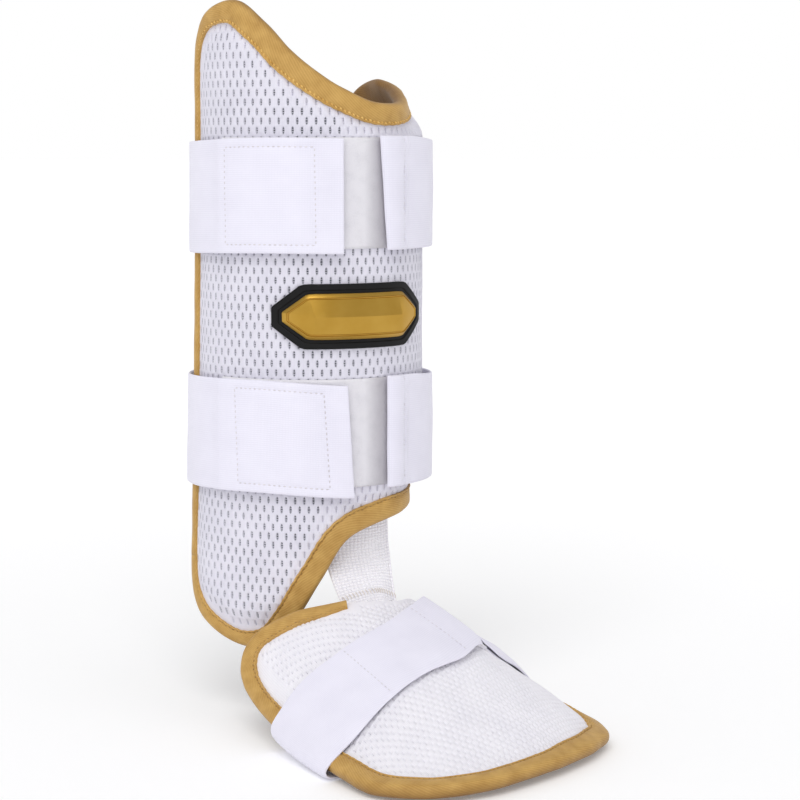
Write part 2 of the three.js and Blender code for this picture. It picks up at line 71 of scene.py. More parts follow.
# Driving dimensions of the straps, the foot pad and the webbing
STRAP = Sizes(width=59.5, thickness=1.6, hem=3.0)
FOOT_PLACE = Sizes(x=-7.2, y=-15.5, floor=-213.2)
TOE_OUT = 14
FOOT_PADDING = Sizes(middle=6.5, rim=4.0)
FOOT_ARCH_POWER = Sizes(medial=2.4, lateral=2.15, toe=2.8, to_toe=(114, 138))
FOOT_SAG = Sizes(depth=5, across=(0.05, 0.4), edge_power=4, along=(58, 98))
FOOT_STRAP_THICKNESS = 1.5
WEBBING = Sizes(angle=6, width=39, warps=18, weft_pitch=1.6)
WARP_PITCH = WEBBING.width / (WEBBING.warps - 1)

# Ribs of the shin shell: angle round the leg from the front, and where the padding starts and stops
SHELL_RIBS = table(
    "angle top bottom",
    (-104.5, 121, -132), (-102.5, 139, -144.5), (-96.5, 151.5, -155), (-86, 161.3, -164.4),
    (-67, 164.6, -173.6), (-50, 153, -172.4), (-36, 138.8, -159.2), (-22, 127.6, -136.4),
    (-8, 119.2, -114.9), (10, 112.5, -107.2), (34, 112.8, -103.6), (70, 120.6, -102.6),
    (105, 126.8, -100), (122, 124.8, -95), (130, 118.5, -86), (133.5, 105, -74),
)

# Inner radius of a leg strap, from its folded hem round the calf to its free tab
STRAP_ROUTE = table(
    "angle radius",
    (5, 64.4), (9, 64.4), (22, 64.4), (26, 64.4), (55, 64.7), (90, 63.9), (130, 62.8), (180, 61.5),
    (230, 63.2), (252, 64.4), (270, 64.4), (284, 64.7), (290, 65.9), (350, 65.9), (356, 65.9),
)

# Each leg strap's lower edge, and the angles of its hem, its tab and its hook patch, low and high on it
LEG_STRAPS = {
    "upper": Sizes(bottom=37, hem=(12, 8), tab=(349.5, 349.5), hooks=((-66.5, -67), (-23, -23.5))),
    "lower": Sizes(bottom=-88.5, hem=(12, 12), tab=(354, 351), hooks=((-60, -62), (-17, -20))),
}

# How far each leg strap hangs below its hem end on the way round
STRAP_DROP = table(
    "angle upper lower",
    (9, 0, 0), (100, 0, 2.2), (180, 2, 4), (250, 3, 3), (309, 1.2, 1.2), (350, 1.5, 4),
)
HEM_SEAM = 22.5
LOOP_BAND = Sizes(angles=(-72, 24), radius=62.4, margin=1, drops=False)
HOOK_PATCH = Sizes(angles=(-68, -22), radius=64.4, margin=4, drops=True)

# The badge's outlines, from one pointed end to the other: half its height at each place along it
BADGE = Sizes(angle=-2, height=3, spine=24)
BADGE_BASE = table("along half", (-46, 5), (-30, 17), (30, 17), (46, 5))
BADGE_PLATE = table("along half", (-40, 2.5), (-27, 12), (27, 12), (40, 2.5))

# Sections of the foot pad from ankle to toe: half widths, and heights of edges and crest
FOOT_SECTIONS = table(
    "along medial lateral edge crest",
    (0, 60, 54, 44, 82), (30, 68, 60, 22, 78), (65, 76, 65, 12, 70.5), (100, 83, 68, 7.5, 54),
    (145, 90, 68.5, 6.4, 30), (175, 91, 68, 6.2, 14), (192, 91, 68, 6.2, 6.2),
)

# Ribs of the foot pad: place across it (-1 inner edge, 1 outer edge) and where it starts and stops
FOOT_RIBS = table(
    "across rear toe",
    (-1, 26, 142), (-0.98, 19, 154), (-0.92, 16, 165), (-0.8, 19.5, 177.5), (-0.6, 34.5, 186.6),
    (-0.35, 57, 190), (0, 70, 188.4), (0.35, 61, 184), (0.6, 39, 177.8), (0.8, 22, 170),
    (0.92, 17, 156), (0.98, 19, 143), (1, 26, 130),
)
TOE_CURVE = (100, 175)
FOOT_TAPE_ENDS = Sizes(medial=-0.32, lateral=0.74)

# The foot strap over the pad: its two edges from ankle to toe, and the height of its underside
FOOT_STRAP_ROWS = table(
    "across rear front rise",
    (-1, 64, 119.5, 2.8), (-0.85, 70, 122.5, 3.2), (-0.62, 81.5, 122.2, 3.9), (-0.3, 86.5, 120.6, 3.9),
    (0, 81, 119, 4.2), (0.3, 73, 111, 5.4), (0.45, 78, 113, 0.4), (0.6, 77, 114, 0.3),
    (0.82, 72, 113, 0.6), (1, 64, 110, 2.0),
)

# Bands that lie across the pad: the places of their ends, the slant of the first one, and the cut's inset
FOOT_TAB = Sizes(ends=(0.285, -1), slant=0.15, inset=0)
FOOT_HEM = Sizes(ends=(1, 0.44), slant=0, inset=0)
FOOT_BAND = Sizes(ends=(0.38, -0.64), slant=0.12, inset=2.2, rise=GAP)
FOOT_HOOK = Sizes(ends=(0.06, -0.58), slant=0.12, inset=2.5, rise=2.4)
# Where the foot strap turns under an edge of the pad: distances out from the edge and below it
SOLE_TURN = ((2.7, 2), (1.4, 4.2), (-5, 5.2))

# The webbing's way down the inside of the shell (radius, height), and on under the rear edge of the pad
# (place along it, depth)
WEBBING_DROP = ((52.7, -58), (52.7, -78), (50.6, -94), (50.6, -112), (51.6, -128))
WEBBING_TUCK = ((60, 10), (66, 5.6), (73, 5.2), (84, 7.9))
WEBBING_SEAT = -0.01


# Numbers and curves

def lerp(a, b, share):
    return a + (b - a) * share


def smoothstep(value, low, high):
    t = np.clip((value - low) / (high - low), 0, 1)
    return t * t * (3 - 2 * t)


def unit(vectors):
    return vectors / np.linalg.norm(vectors, axis=-1, keepdims=True)


def spread(*columns):
    """Columns of numbers, brought to one shape, side by side along a new last axis."""
    return np.stack(np.broadcast_arrays(*columns), -1)


def nearest(margins):
    return spread(*margins).min(-1)


def groove(distance, width):
    """Depth share of a seam pulled in by its thread, at a distance from it."""
    return np.exp(-((distance / width) ** 2))


def rounding(distance, radius, least):
    """Share of a band's thickness at a distance from its rounded edge."""
    return np.sqrt(np.clip(1 - (1 - np.clip(distance / radius, 0, 1)) ** 2, least, 1))


def round_turn(sides):
    return 2 * np.pi * np.arange(sides) / sides


def ripple(u, v, pitch):
    """A smooth uneven wave between about -1 and 1."""
    a, b = 2 * math.pi * u / pitch, 2 * math.pi * v / pitch
    waves = np.sin(a + 1.3 * np.sin(0.7 * b)) + np.sin(1.7 * b + 0.9 * np.sin(0.6 * a + 2))
    return (waves + np.sin(0.6 * a - 1.1 * b + 1)) / 3


def straight_at(rows, at, column):
    """Value of one column of a table at a place between its rows."""
    return np.interp(at, next(iter(rows.values())), rows[column])


def curve_at(rows, at, column):
    """Value of one column of a table at a place between its rows, along a smooth curve through them."""
    x, y = next(iter(rows.values())), rows[column]
    slope = np.empty_like(y)
    slope[1:-1] = (y[2:] - y[:-2]) / (x[2:] - x[:-2])
    slope[0] = (y[1] - y[0]) / (x[1] - x[0])
    slope[-1] = (y[-1] - y[-2]) / (x[-1] - x[-2])
    at = np.clip(at, x[0], x[-1])
    after = np.clip(np.searchsorted(x, at), 1, len(x) - 1)
    before = after - 1
    span = x[after] - x[before]
    t = (at - x[before]) / span
    lead = t * (1 - t) ** 2 * slope[before] * span
    trail = t * t * (t - 1) * slope[after] * span
    return lerp(y[before], y[after], t * t * (3 - 2 * t)) + lead + trail


def through(knots, parts):
    """Points of a smooth curve through knots, with so many parts between each two."""
    line = np.concatenate([[2 * knots[0] - knots[1]], knots, [2 * knots[-1] - knots[-2]]])
    step = np.sqrt(np.linalg.norm(np.diff(line, axis=0), axis=-1, keepdims=True))
    p0, p1, p2, p3 = line[:-3], line[1:-2], line[2:-1], line[3:]
    d0, d1, d2 = step[:-2], step[1:-1], step[2:]
    lead = ((p1 - p0) / d0 - (p2 - p0) / (d0 + d1) + (p2 - p1) / d1) * d1
    trail = ((p2 - p1) / d1 - (p3 - p1) / (d1 + d2) + (p3 - p2) / d2) * d1
    t = np.linspace(0, 1, parts, endpoint=False)[None, :, None]
    p1, p2, lead, trail = (part[:, None] for part in (p1, p2, lead, trail))
    blend = t * t * (3 - 2 * t)
    points = lerp(p1, p2, blend) + lead * t * (1 - t) ** 2 + trail * t * t * (t - 1)
    return np.concatenate([points.reshape(-1, knots.shape[1]), knots[-1:]])


def smooth_rows(rows, parts):
    return dict(zip(rows, through(spread(*rows.values()), parts).T))


def lengths(points):
    """Distance along a line of points to each of them."""
    steps = np.linalg.norm(np.diff(points, axis=0), axis=-1)
    return np.concatenate([[0], np.cumsum(steps)])


def points_at(at, places, points):
    """Points at places along a line, between the points that are known there."""
    return np.stack([np.interp(at, places, column) for column in points.T], -1)


def resample(path, points, spacing):
    """A path of places again, evenly spaced by the distance between the points that they stand for."""
    far = lengths(points)
    return points_at(np.linspace(0, far[-1], int(far[-1] / spacing) + 1), far, path)


# The forms under the cloth

RIM_PARTS = 16
SHELL_RIM = smooth_rows(SHELL_RIBS, RIM_PARTS)
FOOT_RIM = smooth_rows(FOOT_RIBS, RIM_PARTS)
FOOT_TURN = np.array(Matrix.Rotation(math.radians(TOE_OUT), 3, "Z"))
FOOT_ORIGIN = np.array([FOOT_PLACE.x, FOOT_PLACE.y, FOOT_PLACE.floor])
# Small changes of place that give the slope of the pad and of a face by its rim
CROWN_NUDGE = 0.02
RIM_NUDGE = 0.01


def polar(angle, radius, height):
    turn = np.radians(angle)
    return spread(radius * np.sin(turn), -radius * np.cos(turn), height)


def ankle_flare(angle, height):
    """How far the inner side of the guard stands out over the ankle bone."""
    side = smoothstep(angle, *FLARE_SIDE.rear) * (1 - smoothstep(angle, *FLARE_SIDE.front))
    down = np.maximum(0, ANKLE_FLARE.top - height) / (ANKLE_FLARE.top - ANKLE_FLARE.bottom)
    return ANKLE_FLARE.depth * side * down ** ANKLE_FLARE.power


def shell_margins(angle, height):
    """Distances of a place on the shell from its upright edges, its top and its bottom."""
    return (
        (angle - SHELL_RIBS["angle"][0]) * ARC,
        (SHELL_RIBS["angle"][-1] - angle) * ARC,
        straight_at(SHELL_RIM, angle, "top") - height,
        height - straight_at(SHELL_RIM, angle, "bottom"),
    )


def shell_face(angle, height):
    """Radius of the shell's outer face, which rolls in towards the leg at its top and bottom."""
    rear, front, top, bottom = shell_margins(angle, height)
    lateral = smoothstep(angle, *OUTER_SIDE)
    ankle = 1 - smoothstep(angle, *ANKLE_SIDE)
    top_roll = lerp(TOP_ROLL.front, TOP_ROLL.lateral, lateral)
    bottom_roll = lerp(lerp(BOTTOM_ROLL.front, BOTTOM_ROLL.lateral, lateral), BOTTOM_ROLL.ankle, ankle)
    near_top = 1 - smoothstep(top, *TOP_ROLL.fade)
    near_bottom = 1 - smoothstep(bottom, *BOTTOM_ROLL.fade)
    inside = smoothstep(np.minimum(rear, front), *RIM_ROLL_FADE)
    roll = inside * (top_roll * near_top + bottom_roll * near_bottom)
    return lerp(SHELL_RADIUS, SHELL_RADIUS_LATERAL, lateral) + ankle_flare(angle, height) - roll


def fullness(margins):
    """Share of the full padding at a place with these distances from the edges."""
    start, end = PADDING_TAPER
    share = 1
    for margin in margins:
        share = share * np.clip((margin - start) / (end - start), 0, 1)
    return share


def shell_depths(angle, height):
    """Depths of the padding's back and of the lining's inner face."""
    full = fullness(shell_margins(angle, height))
    padding = lerp(SHELL_PADDING.rim, SHELL_PADDING.middle, full)
    return padding, padding + GAP + lerp(LINING.rim, LINING.middle, full)


def shell_out(angle, height, rise):
    return polar(angle, shell_face(angle, height) + rise, height)


def shell_in(angle, height, rise):
    return shell_out(angle, height, -shell_depths(angle, height)[1] - rise)


def foot_section(along, column):
    return curve_at(FOOT_SECTIONS, along, column)


def foot_half(across, along):
    return np.where(across < 0, foot_section(along, "medial"), foot_section(along, "lateral"))


def foot_crown(across, along):
    """A point on the foot pad's upper face, which comes down to the floor along the toe edge."""
    edge = foot_section(along, "edge")
    lag = straight_at(FOOT_RIM, 0, "toe") - straight_at(FOOT_RIM, across, "toe")
    to_last = along + lag * smoothstep(along, *TOE_CURVE)
    towards_toe = smoothstep(along, *FOOT_ARCH_POWER.to_toe)
    lateral = lerp(FOOT_ARCH_POWER.lateral, FOOT_ARCH_POWER.toe, towards_toe)
    power = np.where(across < 0, FOOT_ARCH_POWER.medial, lateral)
    rise = (foot_section(to_last, "crest") - edge) * (1 - np.abs(across) ** power)
    outwards = smoothstep(across, *FOOT_SAG.across) * (1 - np.clip(across, 0, 1) ** FOOT_SAG.edge_power)
    rise = rise - FOOT_SAG.depth * outwards * (1 - smoothstep(along, *FOOT_SAG.along))
    return spread(foot_half(across, along) * across, -along, edge + rise)


def foot_above(across, along, rise):
    """A point of the foot's own frame, so far above the pad's upper face."""
    across, along = np.broadcast_arrays(np.asarray(across, float), np.asarray(along, float))
    sideways = foot_crown(across + CROWN_NUDGE, along) - foot_crown(across - CROWN_NUDGE, along)
    rearwards = foot_crown(across, along - CROWN_NUDGE) - foot_crown(across, along + CROWN_NUDGE)
    normal = unit(np.cross(sideways, rearwards))
    return foot_crown(across, along) + normal * np.asarray(rise, float)[..., None]


def in_place(points):
    """Points of the foot's own frame in the guard's frame."""
    return points @ FOOT_TURN.T + FOOT_ORIGIN


def foot_out(across, along, rise):
    return in_place(foot_above(across, along, rise))


def foot_margins(across, along):
    """Distances of a place on the foot pad from its rear edge, its toe edge and its side."""
    return (
        along - straight_at(FOOT_RIM, across, "rear"),
        straight_at(FOOT_RIM, across, "toe") - along,
        (1 - np.abs(across)) * foot_half(across, along),
    )


def foot_in(across, along, rise):
    full = fullness(foot_margins(across, along))
    return foot_out(across, along, -lerp(FOOT_PADDING.rim, FOOT_PADDING.middle, full) - rise)


# Meshes

# Millimetres within which points are one and an edge is dropped, and degrees up to which a crease is smooth
WELD = 0.004
SLIVER = 0.002
SMOOTH_TO = 50
# Places along a pad at which its limits are looked at to find its first and last row of cells
LIMIT_SAMPLES = 200
# The outline of a cell of mesh in halves of it, and the turns of a hole's ring that face those marks
ROUND_CELL = np.array([(0, 0), (1, 0), (2, 0), (2, 1), (2, 2), (1, 2), (0, 2), (0, 1)])
ROUND_HOLE = np.radians([225, 270, 315, 0, 45, 90, 135, 180])
CLOTH, BACK, HOLE_SIDE, HOLE_FLOOR, PALE_FLOOR = range(5)
BOX = np.array([(a, b, c) for a in (-1, 1) for b in (-1, 1) for c in (-1, 1)])
BOX_SIDES = np.array([(0, 1, 3, 2), (4, 6, 7, 5), (0, 4, 5, 1), (2, 3, 7, 6), (0, 2, 6, 4), (1, 5, 7, 3)])
# A stitch: how far its ends taper, how it arches out of the cloth, and how flat its thread is
THREAD = Sizes(rings=5, sides=6, taper=0.92, arch=1.5, sunk=0.95, flat=0.8)


def finish_mesh(name, points, faces, weave, looks, face_looks=None, sharp=SMOOTH_TO):
    """An object from points in millimetres; weave holds each point's place in its cloth."""
    mesh = bpy.data.meshes.new(name)
    mesh.from_pydata((np.asarray(points) * MM).tolist(), [], faces)
    spot = mesh.attributes.new("weave", "FLOAT_VECTOR", "POINT")
    flat = np.zeros((len(points), 3), np.float32)
    flat[:, :2] = weave
    spot.data.foreach_set("vector", flat.ravel())
    for look in looks:
        mesh.materials.append(look)
    if face_looks is not None:
        mesh.polygons.foreach_set("material_index", np.asarray(face_looks, np.int32))
    work = bmesh.new()
    work.from_mesh(mesh)
    bmesh.ops.remove_doubles(work, verts=work.verts, dist=WELD * MM)
    bmesh.ops.dissolve_degenerate(work, edges=work.edges, dist=SLIVER * MM)
    bmesh.ops.recalc_face_normals(work, faces=work.faces)
    work.to_mesh(mesh)
    work.free()
    mesh.polygons.foreach_set("use_smooth", np.ones(len(mesh.polygons), bool))
    mesh.set_sharp_from_angle(angle=math.radians(sharp))
    return link(bpy.data.objects.new(name, mesh))


def link(made):
    bpy.context.scene.collection.objects.link(made)
    return made


def dress(made, slot, *nodes):
    """A piece moves with the guard and stands for these solids; its slot is not used."""
    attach(made, "root")
    if nodes:
        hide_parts(*nodes)


def loft(stations, ring, closed=False):
    """Faces between rings of points that follow each other."""
    here = np.arange(stations if closed else stations - 1)[:, None] * ring
    there = (here + ring) % (stations * ring)
    this = np.arange(ring)[None]
    following = (this + 1) % ring
    return spread(here + this, here + following, there + following, there + this).reshape(-1, 4).tolist()


def slab(name, outer, inner, weave, look, closed=False):
    """A closed solid between an outer and an inner line of points, carried from station to station."""
    stations, count = outer.shape[:2]
    ring = 2 * count
    points = np.concatenate([outer, inner[:, ::-1]], 1).reshape(-1, 3)
    places = np.concatenate([weave, weave[:, ::-1]], 1).reshape(-1, 2)
    faces = loft(stations, ring, closed)
    if not closed:
        end = (stations - 1) * ring
        for m in range(count - 1):
            faces.append([ring - 1 - m, ring - 2 - m, m + 1, m])
            faces.append([end + m, end + m + 1, end + ring - 2 - m, end + ring - 1 - m])
    return finish_mesh(name, points, faces, places, [look])


def tubes(all_rings):
    """Points and faces of closed tubes, each through its own rings of points."""
    points, faces, total = [], [], 0
    for rings in all_rings:
        stations, ring = rings.shape[:2]
        ends = [list(range(ring))[::-1], list(range((stations - 1) * ring, stations * ring))]
        faces.extend([[total + i for i in face] for face in loft(stations, ring) + ends])
        points.append(rings.reshape(-1, 3))
        total += stations * ring
    return np.concatenate(points), faces


def brick_cells(span, limits, cell):
    """Cells that lie in rows as bricks do, cut to a span of x and to limits of z.

    Gives the marks round the cells, the eight of each cell, its middle, and whether it is whole.
    """
    width, height = cell
    low, high = limits
    samples = np.linspace(*span, LIMIT_SAMPLES)
    rows = np.arange(math.floor(low(samples).min() / height), math.ceil(high(samples).max() / height))
    places = np.arange(math.floor(span[0] / width) - 1, math.ceil(span[1] / width) + 1)
    cells = np.array([(2 * m + k % 2, 2 * k) for k in rows for m in places])
    corners = cells[:, None] + ROUND_CELL[None]
    x = np.clip(corners[..., 0] * width / 2, *span)
    z = corners[..., 1] * height / 2
    inside = (z > low(x)) & (z < high(x)) & (x == corners[..., 0] * width / 2)
    kept = inside.any(1)
    marks, index = np.unique(corners[kept].reshape(-1, 2), axis=0, return_inverse=True)
    x = np.clip(marks[:, 0] * width / 2, *span)
    z = np.clip(marks[:, 1] * height / 2, low(x), high(x))
    middle = (cells[kept] + 1) * np.array(cell) / 2
    return spread(x, z), index.reshape(-1, 8), middle, inside[kept].all(1)


def pad_faces(index, holed, pale, count, levels):
    """Faces of a pad and the look of each; its points are the cloth's marks, the back's and then rings."""
    faces, looks = [], []

    def face(corners, look):
        faces.append(corners)
        looks.append(look)

    for cell in np.setdiff1d(np.arange(len(index)), holed):
        face(index[cell].tolist(), CLOTH)
    for corners in index:
        face((corners[::-1] + count).tolist(), BACK)
    for order, cell in enumerate(holed):
        loops = [index[cell].tolist()]
        for level in range(levels):
            first = 2 * count + 8 * (level * len(holed) + order)
            loops.append(list(range(first, first + 8)))
        for level, (outer, inner) in enumerate(zip(loops, loops[1:])):
            for k in range(8):
                n = (k + 1) % 8
                look = HOLE_SIDE if level and not pale[cell] else CLOTH
                face([outer[k], outer[n], inner[n], inner[k]], look)
        face(loops[-1], PALE_FLOOR if pale[cell] else HOLE_FLOOR)
    sides = {(a, b) for row in index.tolist() for a, b in zip(row, row[1:] + row[:1])}
    for a, b in sorted(sides):
        if (b, a) not in sides:
            face([b, a, a + count, b + count], CLOTH)
    return faces, looks


def mesh_pad(name, node, span, limits, cell, hole, holed_at, front, back, looks):
    """Padding under a cloth of staggered oval holes: front(x, z, rise) and back(x, z) give its faces.

    holed_at gives the size of each cell's hole, nought where it is left plain, and whether the hole is a
    pale one. The looks are for the cloth, the back, the sides of a hole, its floor and a pale floor.
    """
    marks, index, middle, whole = brick_cells(span, limits, cell)
    size, pale = holed_at(*middle.T)
    size[~whole] = 0
    holed = np.flatnonzero(size > 0)
    oval = spread(np.cos(ROUND_HOLE), np.sin(ROUND_HOLE))
    floor_half = np.array(hole.half) * hole.taper
    levels = ((hole.lip, 0), (hole.half, hole.lip_depth), (floor_half, hole.depth))
    points = [front(*marks.T, np.full(len(marks), hole.yarn)), back(*marks.T)]
    weave = [marks, marks]
    for half, depth in levels:
        ring = (middle[holed, None] + oval[None] * half * size[holed, None, None]).reshape(-1, 2)
        points.append(front(*ring.T, np.full(len(ring), -depth)))
        weave.append(ring)
    faces, face_looks = pad_faces(index, holed, pale, len(marks), len(levels))
    threads = cross_threads(name + "_threads", middle[holed], size[holed], hole, front, looks[CLOTH])
    made = finish_mesh(name, np.concatenate(points), faces, np.concatenate(weave), looks, face_looks)
    dress(made, "mesh", node)
    dress(threads, "mesh")


def cross_threads(name, middle, size, hole, front, look):
    """Fine threads that cross each hole of a mesh."""
    reach = hole.half[0] * hole.thread_reach
    blocks = []
    for place in hole.threads:
        x = middle[:, :1] + BOX[None, :, 0] * reach * size[:, None]
        up = place * hole.half[1] * size[:, None]
        z = middle[:, 1:] + up + BOX[None, :, 1] * hole.thread
        rise = np.broadcast_to(BOX[None, :, 2] * hole.thread - hole.thread_depth, x.shape)
        blocks.append(front(x.ravel(), z.ravel(), rise.ravel()))
    points = np.concatenate(blocks)
    first = np.arange(0, len(points), len(BOX))[:, None, None]
    faces = (first + BOX_SIDES[None]).reshape(-1, 4).tolist()
    return finish_mesh(name, points, faces, points[:, ::2], [look])


def stitch_rings(points, normals, stitch):
    """Rings of each stitch of a thread that lies on cloth along a line of points with these normals."""
    share = np.linspace(0, 1, THREAD.rings)
    swell = np.sqrt(np.clip(1 - (2 * share - 1) ** 2 * THREAD.taper, 0, 1))
    lift = stitch.radius * (THREAD.arch * swell - THREAD.sunk)
    turn = round_turn(THREAD.sides)
    far = lengths(points)
    number = max(1, int(far[-1] / stitch.pitch))
    starts = (np.arange(number) + 0.5) * (far[-1] / number) - stitch.length / 2
    at = starts[:, None] + share[None] * stitch.length
    spot = points_at(at, far, points)
    up = unit(points_at(at, far, normals))
    ahead = unit(spot[:, -1:] - spot[:, :1]) + np.zeros_like(spot)
    side = unit(np.cross(ahead, up))
    slant = (share - 0.5)[None, :, None] * stitch.slant
    centre = spot + up * lift[None, :, None] + side * slant
    wide = (stitch.radius * swell)[None, :, None, None]
    rim = side[:, :, None] * np.cos(turn)[None, None, :, None]
    rim = rim + up[:, :, None] * np.sin(turn)[None, None, :, None] * THREAD.flat
    return centre[:, :, None] + rim * wide


def sew(name, lines, stitch, look, slot):
    """Thread along each line of points and normals."""
    points, faces = tubes([rings for line in lines for rings in stitch_rings(*line, stitch)])
    dress(finish_mesh(name, points, faces, points[:, :2], [look]), slot)


# Materials

# Scale of a wave texture whose bands are a millimetre apart
BAND_SCALE = 0.1 * math.pi
# Cloth: unevenness and share of its ribs of yarn, size of its patches, the ends of its tones, and its fuzz
WEAVE = Sizes(uneven=0.4, share=0.6, patch=0.05, tones=(0.3, 0.95), fuzz=3.0, fuzz_share=0.5)
TWILL_RIB = Sizes(pitch=1.25, uneven=0.35, share=0.22, fuzz_share=0.8)
# Where shade is painted on a cloth, in millimetres of its own place, and the tone that darkens it there
TAPE_SHADE = Sizes(places=(12.5, 19), tone="b2a387")
PILE_SHADE = Sizes(places=(0.5, 10), tone="d3d1d3")


def colour(code):
    """A colour code as the shader's linear numbers."""
    parts = [int(code[i:i + 2], 16) / 255 for i in (0, 2, 4)]
    return tuple(p / 12.92 if p <= 0.04045 else ((p + 0.055) / 1.055) ** 2.4 for p in parts) + (1,)


def add(tree, kind, inputs, **settings):
    """A shader node; an input that is another node's output is linked."""
    made = tree.nodes.new("ShaderNode" + kind)
    for key, value in settings.items():
        setattr(made, key, value)
    for key, value in inputs.items():
        if isinstance(value, bpy.types.NodeSocket):
            tree.links.new(value, made.inputs[key])
        else:
            made.inputs[key].default_value = value
    return made


def material(name, **sockets):
    """A new material with constant values on its shader; returns it with its tree and shader."""
    made = bpy.data.materials.new(name)
    made.use_nodes = True
    shader = made.node_tree.nodes["Principled BSDF"]
    for key, value in sockets.items():
        shader.inputs[key.replace("_", " ")].default_value = value
    return made, made.node_tree, shader


def weave_place(tree, turn=0.0):
    """Places in the cloth, in millimetres, turned by so many degrees."""
    spot = add(tree, "Attribute", {}, attribute_name="weave")
    turned = add(tree, "Mapping", {"Vector": spot.outputs["Vector"], "Rotation": (0, 0, math.radians(turn))})
    return turned.outputs["Vector"]


def part_of(tree, place, axis):
    return add(tree, "SeparateXYZ", {"Vector": place}).outputs[axis]


def object_place(tree):
    return add(tree, "TexCoord", {}).outputs["Object"]


def ribs(tree, place, pitch, direction, uneven):
    """Rounded ribs of yarn with this pitch, in millimetres."""
    wave = add(
        tree, "TexWave",
        {"Vector": place, "Scale": BAND_SCALE / pitch, "Distortion": uneven, "Detail": 1.0},
        wave_type="BANDS", bands_direction=direction, wave_profile="SIN",
    )
    return wave.outputs["Fac"]


def grain(tree, place, scale):
    return add(tree, "TexNoise", {"Vector": place, "Scale": scale, "Detail": 3.0}).outputs["Fac"]


def times(tree, first, second):
    return add(tree, "Math", {0: first, 1: second}, operation="MULTIPLY").outputs[0]


def plus(tree, first, second):
    return add(tree, "Math", {0: first, 1: second}, operation="ADD").outputs[0]


def fade(tree, value, places, levels=(0.0, 1.0)):
    """A value that goes from one level to another between two places."""
    ends = {"From Min": places[0], "From Max": places[1], "To Min": levels[0], "To Max": levels[1]}
    return add(tree, "MapRange", {"Value": value, **ends}).outputs["Result"]


def ramp(tree, factor, *stops):
    made = add(tree, "ValToRGB", {"Fac": factor})
    for point, (at, code) in zip(made.color_ramp.elements, stops):
        point.position = at
        point.color = colour(code)
    return made.outputs["Color"]


def paint(tree, shader, tone):
    tree.links.new(tone, shader.inputs["Base Color"])


def raise_by(tree, shader, height, depth):
    """Relief on a surface: heights from 0 to 1 times a depth in millimetres."""
    bump = add(tree, "Bump", {"Height": height, "Distance": depth * MM, "Strength": 1.0})
    tree.links.new(bump.outputs["Normal"], shader.inputs["Normal"])


def cloth(name, tones, pitches, depth, roughness, sheen, turn=0.0):
    """Woven or knitted cloth: two tones over slow patches, and crossing ribs of yarn."""
    made, tree, shader = material(name, Roughness=roughness, Sheen_Weight=sheen, Sheen_Roughness=0.5)
    place = weave_place(tree, turn)
    across, along = (ribs(tree, place, *way, WEAVE.uneven) for way in zip(pitches, "XY"))
    yarns = times(tree, across, along)
    patch = plus(tree, times(tree, yarns, WEAVE.share), grain(tree, place, WEAVE.patch))
    paint(tree, shader, ramp(tree, patch, *zip(WEAVE.tones, tones)))
    fuzz = times(tree, grain(tree, place, WEAVE.fuzz), WEAVE.fuzz_share)
    raise_by(tree, shader, plus(tree, yarns, fuzz), depth)
    return made


def painted_shade(tree, unshaded, place, shade):
    """A colour darkened step by step between two places: painted shade."""
    made = tree.nodes.new("ShaderNodeMix")
    made.data_type = "RGBA"
    made.blend_type = "MULTIPLY"
    sockets = [socket for socket in made.inputs if socket.type == "RGBA"]
    tree.links.new(fade(tree, place, shade.places), made.inputs[0])
    tree.links.new(unshaded, sockets[0])
    sockets[1].default_value = colour(shade.tone)
    return next(socket for socket in made.outputs if socket.type == "RGBA")


def twill():
    """Gold tape with fine slanting ribs, with painted shade from its fold on to its inner side."""
    made, tree, shader = material("gold_twill", Roughness=0.65, Sheen_Weight=0.15, Sheen_Roughness=0.4)
    place = weave_place(tree, turn=66)
    slant = ribs(tree, place, TWILL_RIB.pitch, "X", TWILL_RIB.uneven)
    tone = plus(tree, times(tree, slant, TWILL_RIB.share), grain(tree, place, scale=0.12))
    unshaded = ramp(tree, tone, (0.3, "ad833d"), (0.85, "caa158"))
    # Painted shade: the tape is darker from its fold on to its inner side, where it lies in shadow.
    paint(tree, shader, painted_shade(tree, unshaded, part_of(tree, weave_place(tree), "Y"), TAPE_SHADE))
    fuzz = times(tree, grain(tree, place, scale=2.5), TWILL_RIB.fuzz_share)
    raise_by(tree, shader, plus(tree, slant, fuzz), depth=0.075)
    return made


def pile():
    """Brushed loops with no lines in them, with painted shade towards and under a hem."""
    made, tree, shader = material("grey_pile", Roughness=1.0, Sheen_Weight=0.5, Sheen_Roughness=0.6)
    place = weave_place(tree)
    loops = plus(tree, grain(tree, place, scale=2.6), grain(tree, place, scale=0.12))
    unshaded = ramp(tree, loops, (0.6, "d2d0d7"), (1.4, "e4e2e8"))
    # Painted shade: the pile darkens towards the hem, where the hem's shade falls on it.
    paint(tree, shader, painted_shade(tree, unshaded, part_of(tree, place, "X"), PILE_SHADE))
    raise_by(tree, shader, grain(tree, place, scale=2.2), depth=0.3)
    return made


def rubber():
    made, tree, shader = material("black_rubber", Roughness=0.55, Specular_IOR_Level=0.25)
    place = object_place(tree)
    patch = grain(tree, place, scale=300.0)
    paint(tree, shader, ramp(tree, patch, (0.3, "050506"), (0.8, "0c0c0f")))
    raise_by(tree, shader, grain(tree, place, scale=2500.0), depth=0.04)
    return made


def satin_gold():
    made, tree, shader = material("satin_gold", Metallic=1.0)
    place = object_place(tree)
    patch = grain(tree, place, scale=60.0)
    paint(tree, shader, ramp(tree, patch, (0.3, "b58d3a"), (0.8, "c39c49")))
    tree.links.new(fade(tree, patch, (0.0, 1.0), levels=(0.3, 0.36)), shader.inputs["Roughness"])
    raise_by(tree, shader, grain(tree, place, scale=3000.0), depth=0.01)
    return made


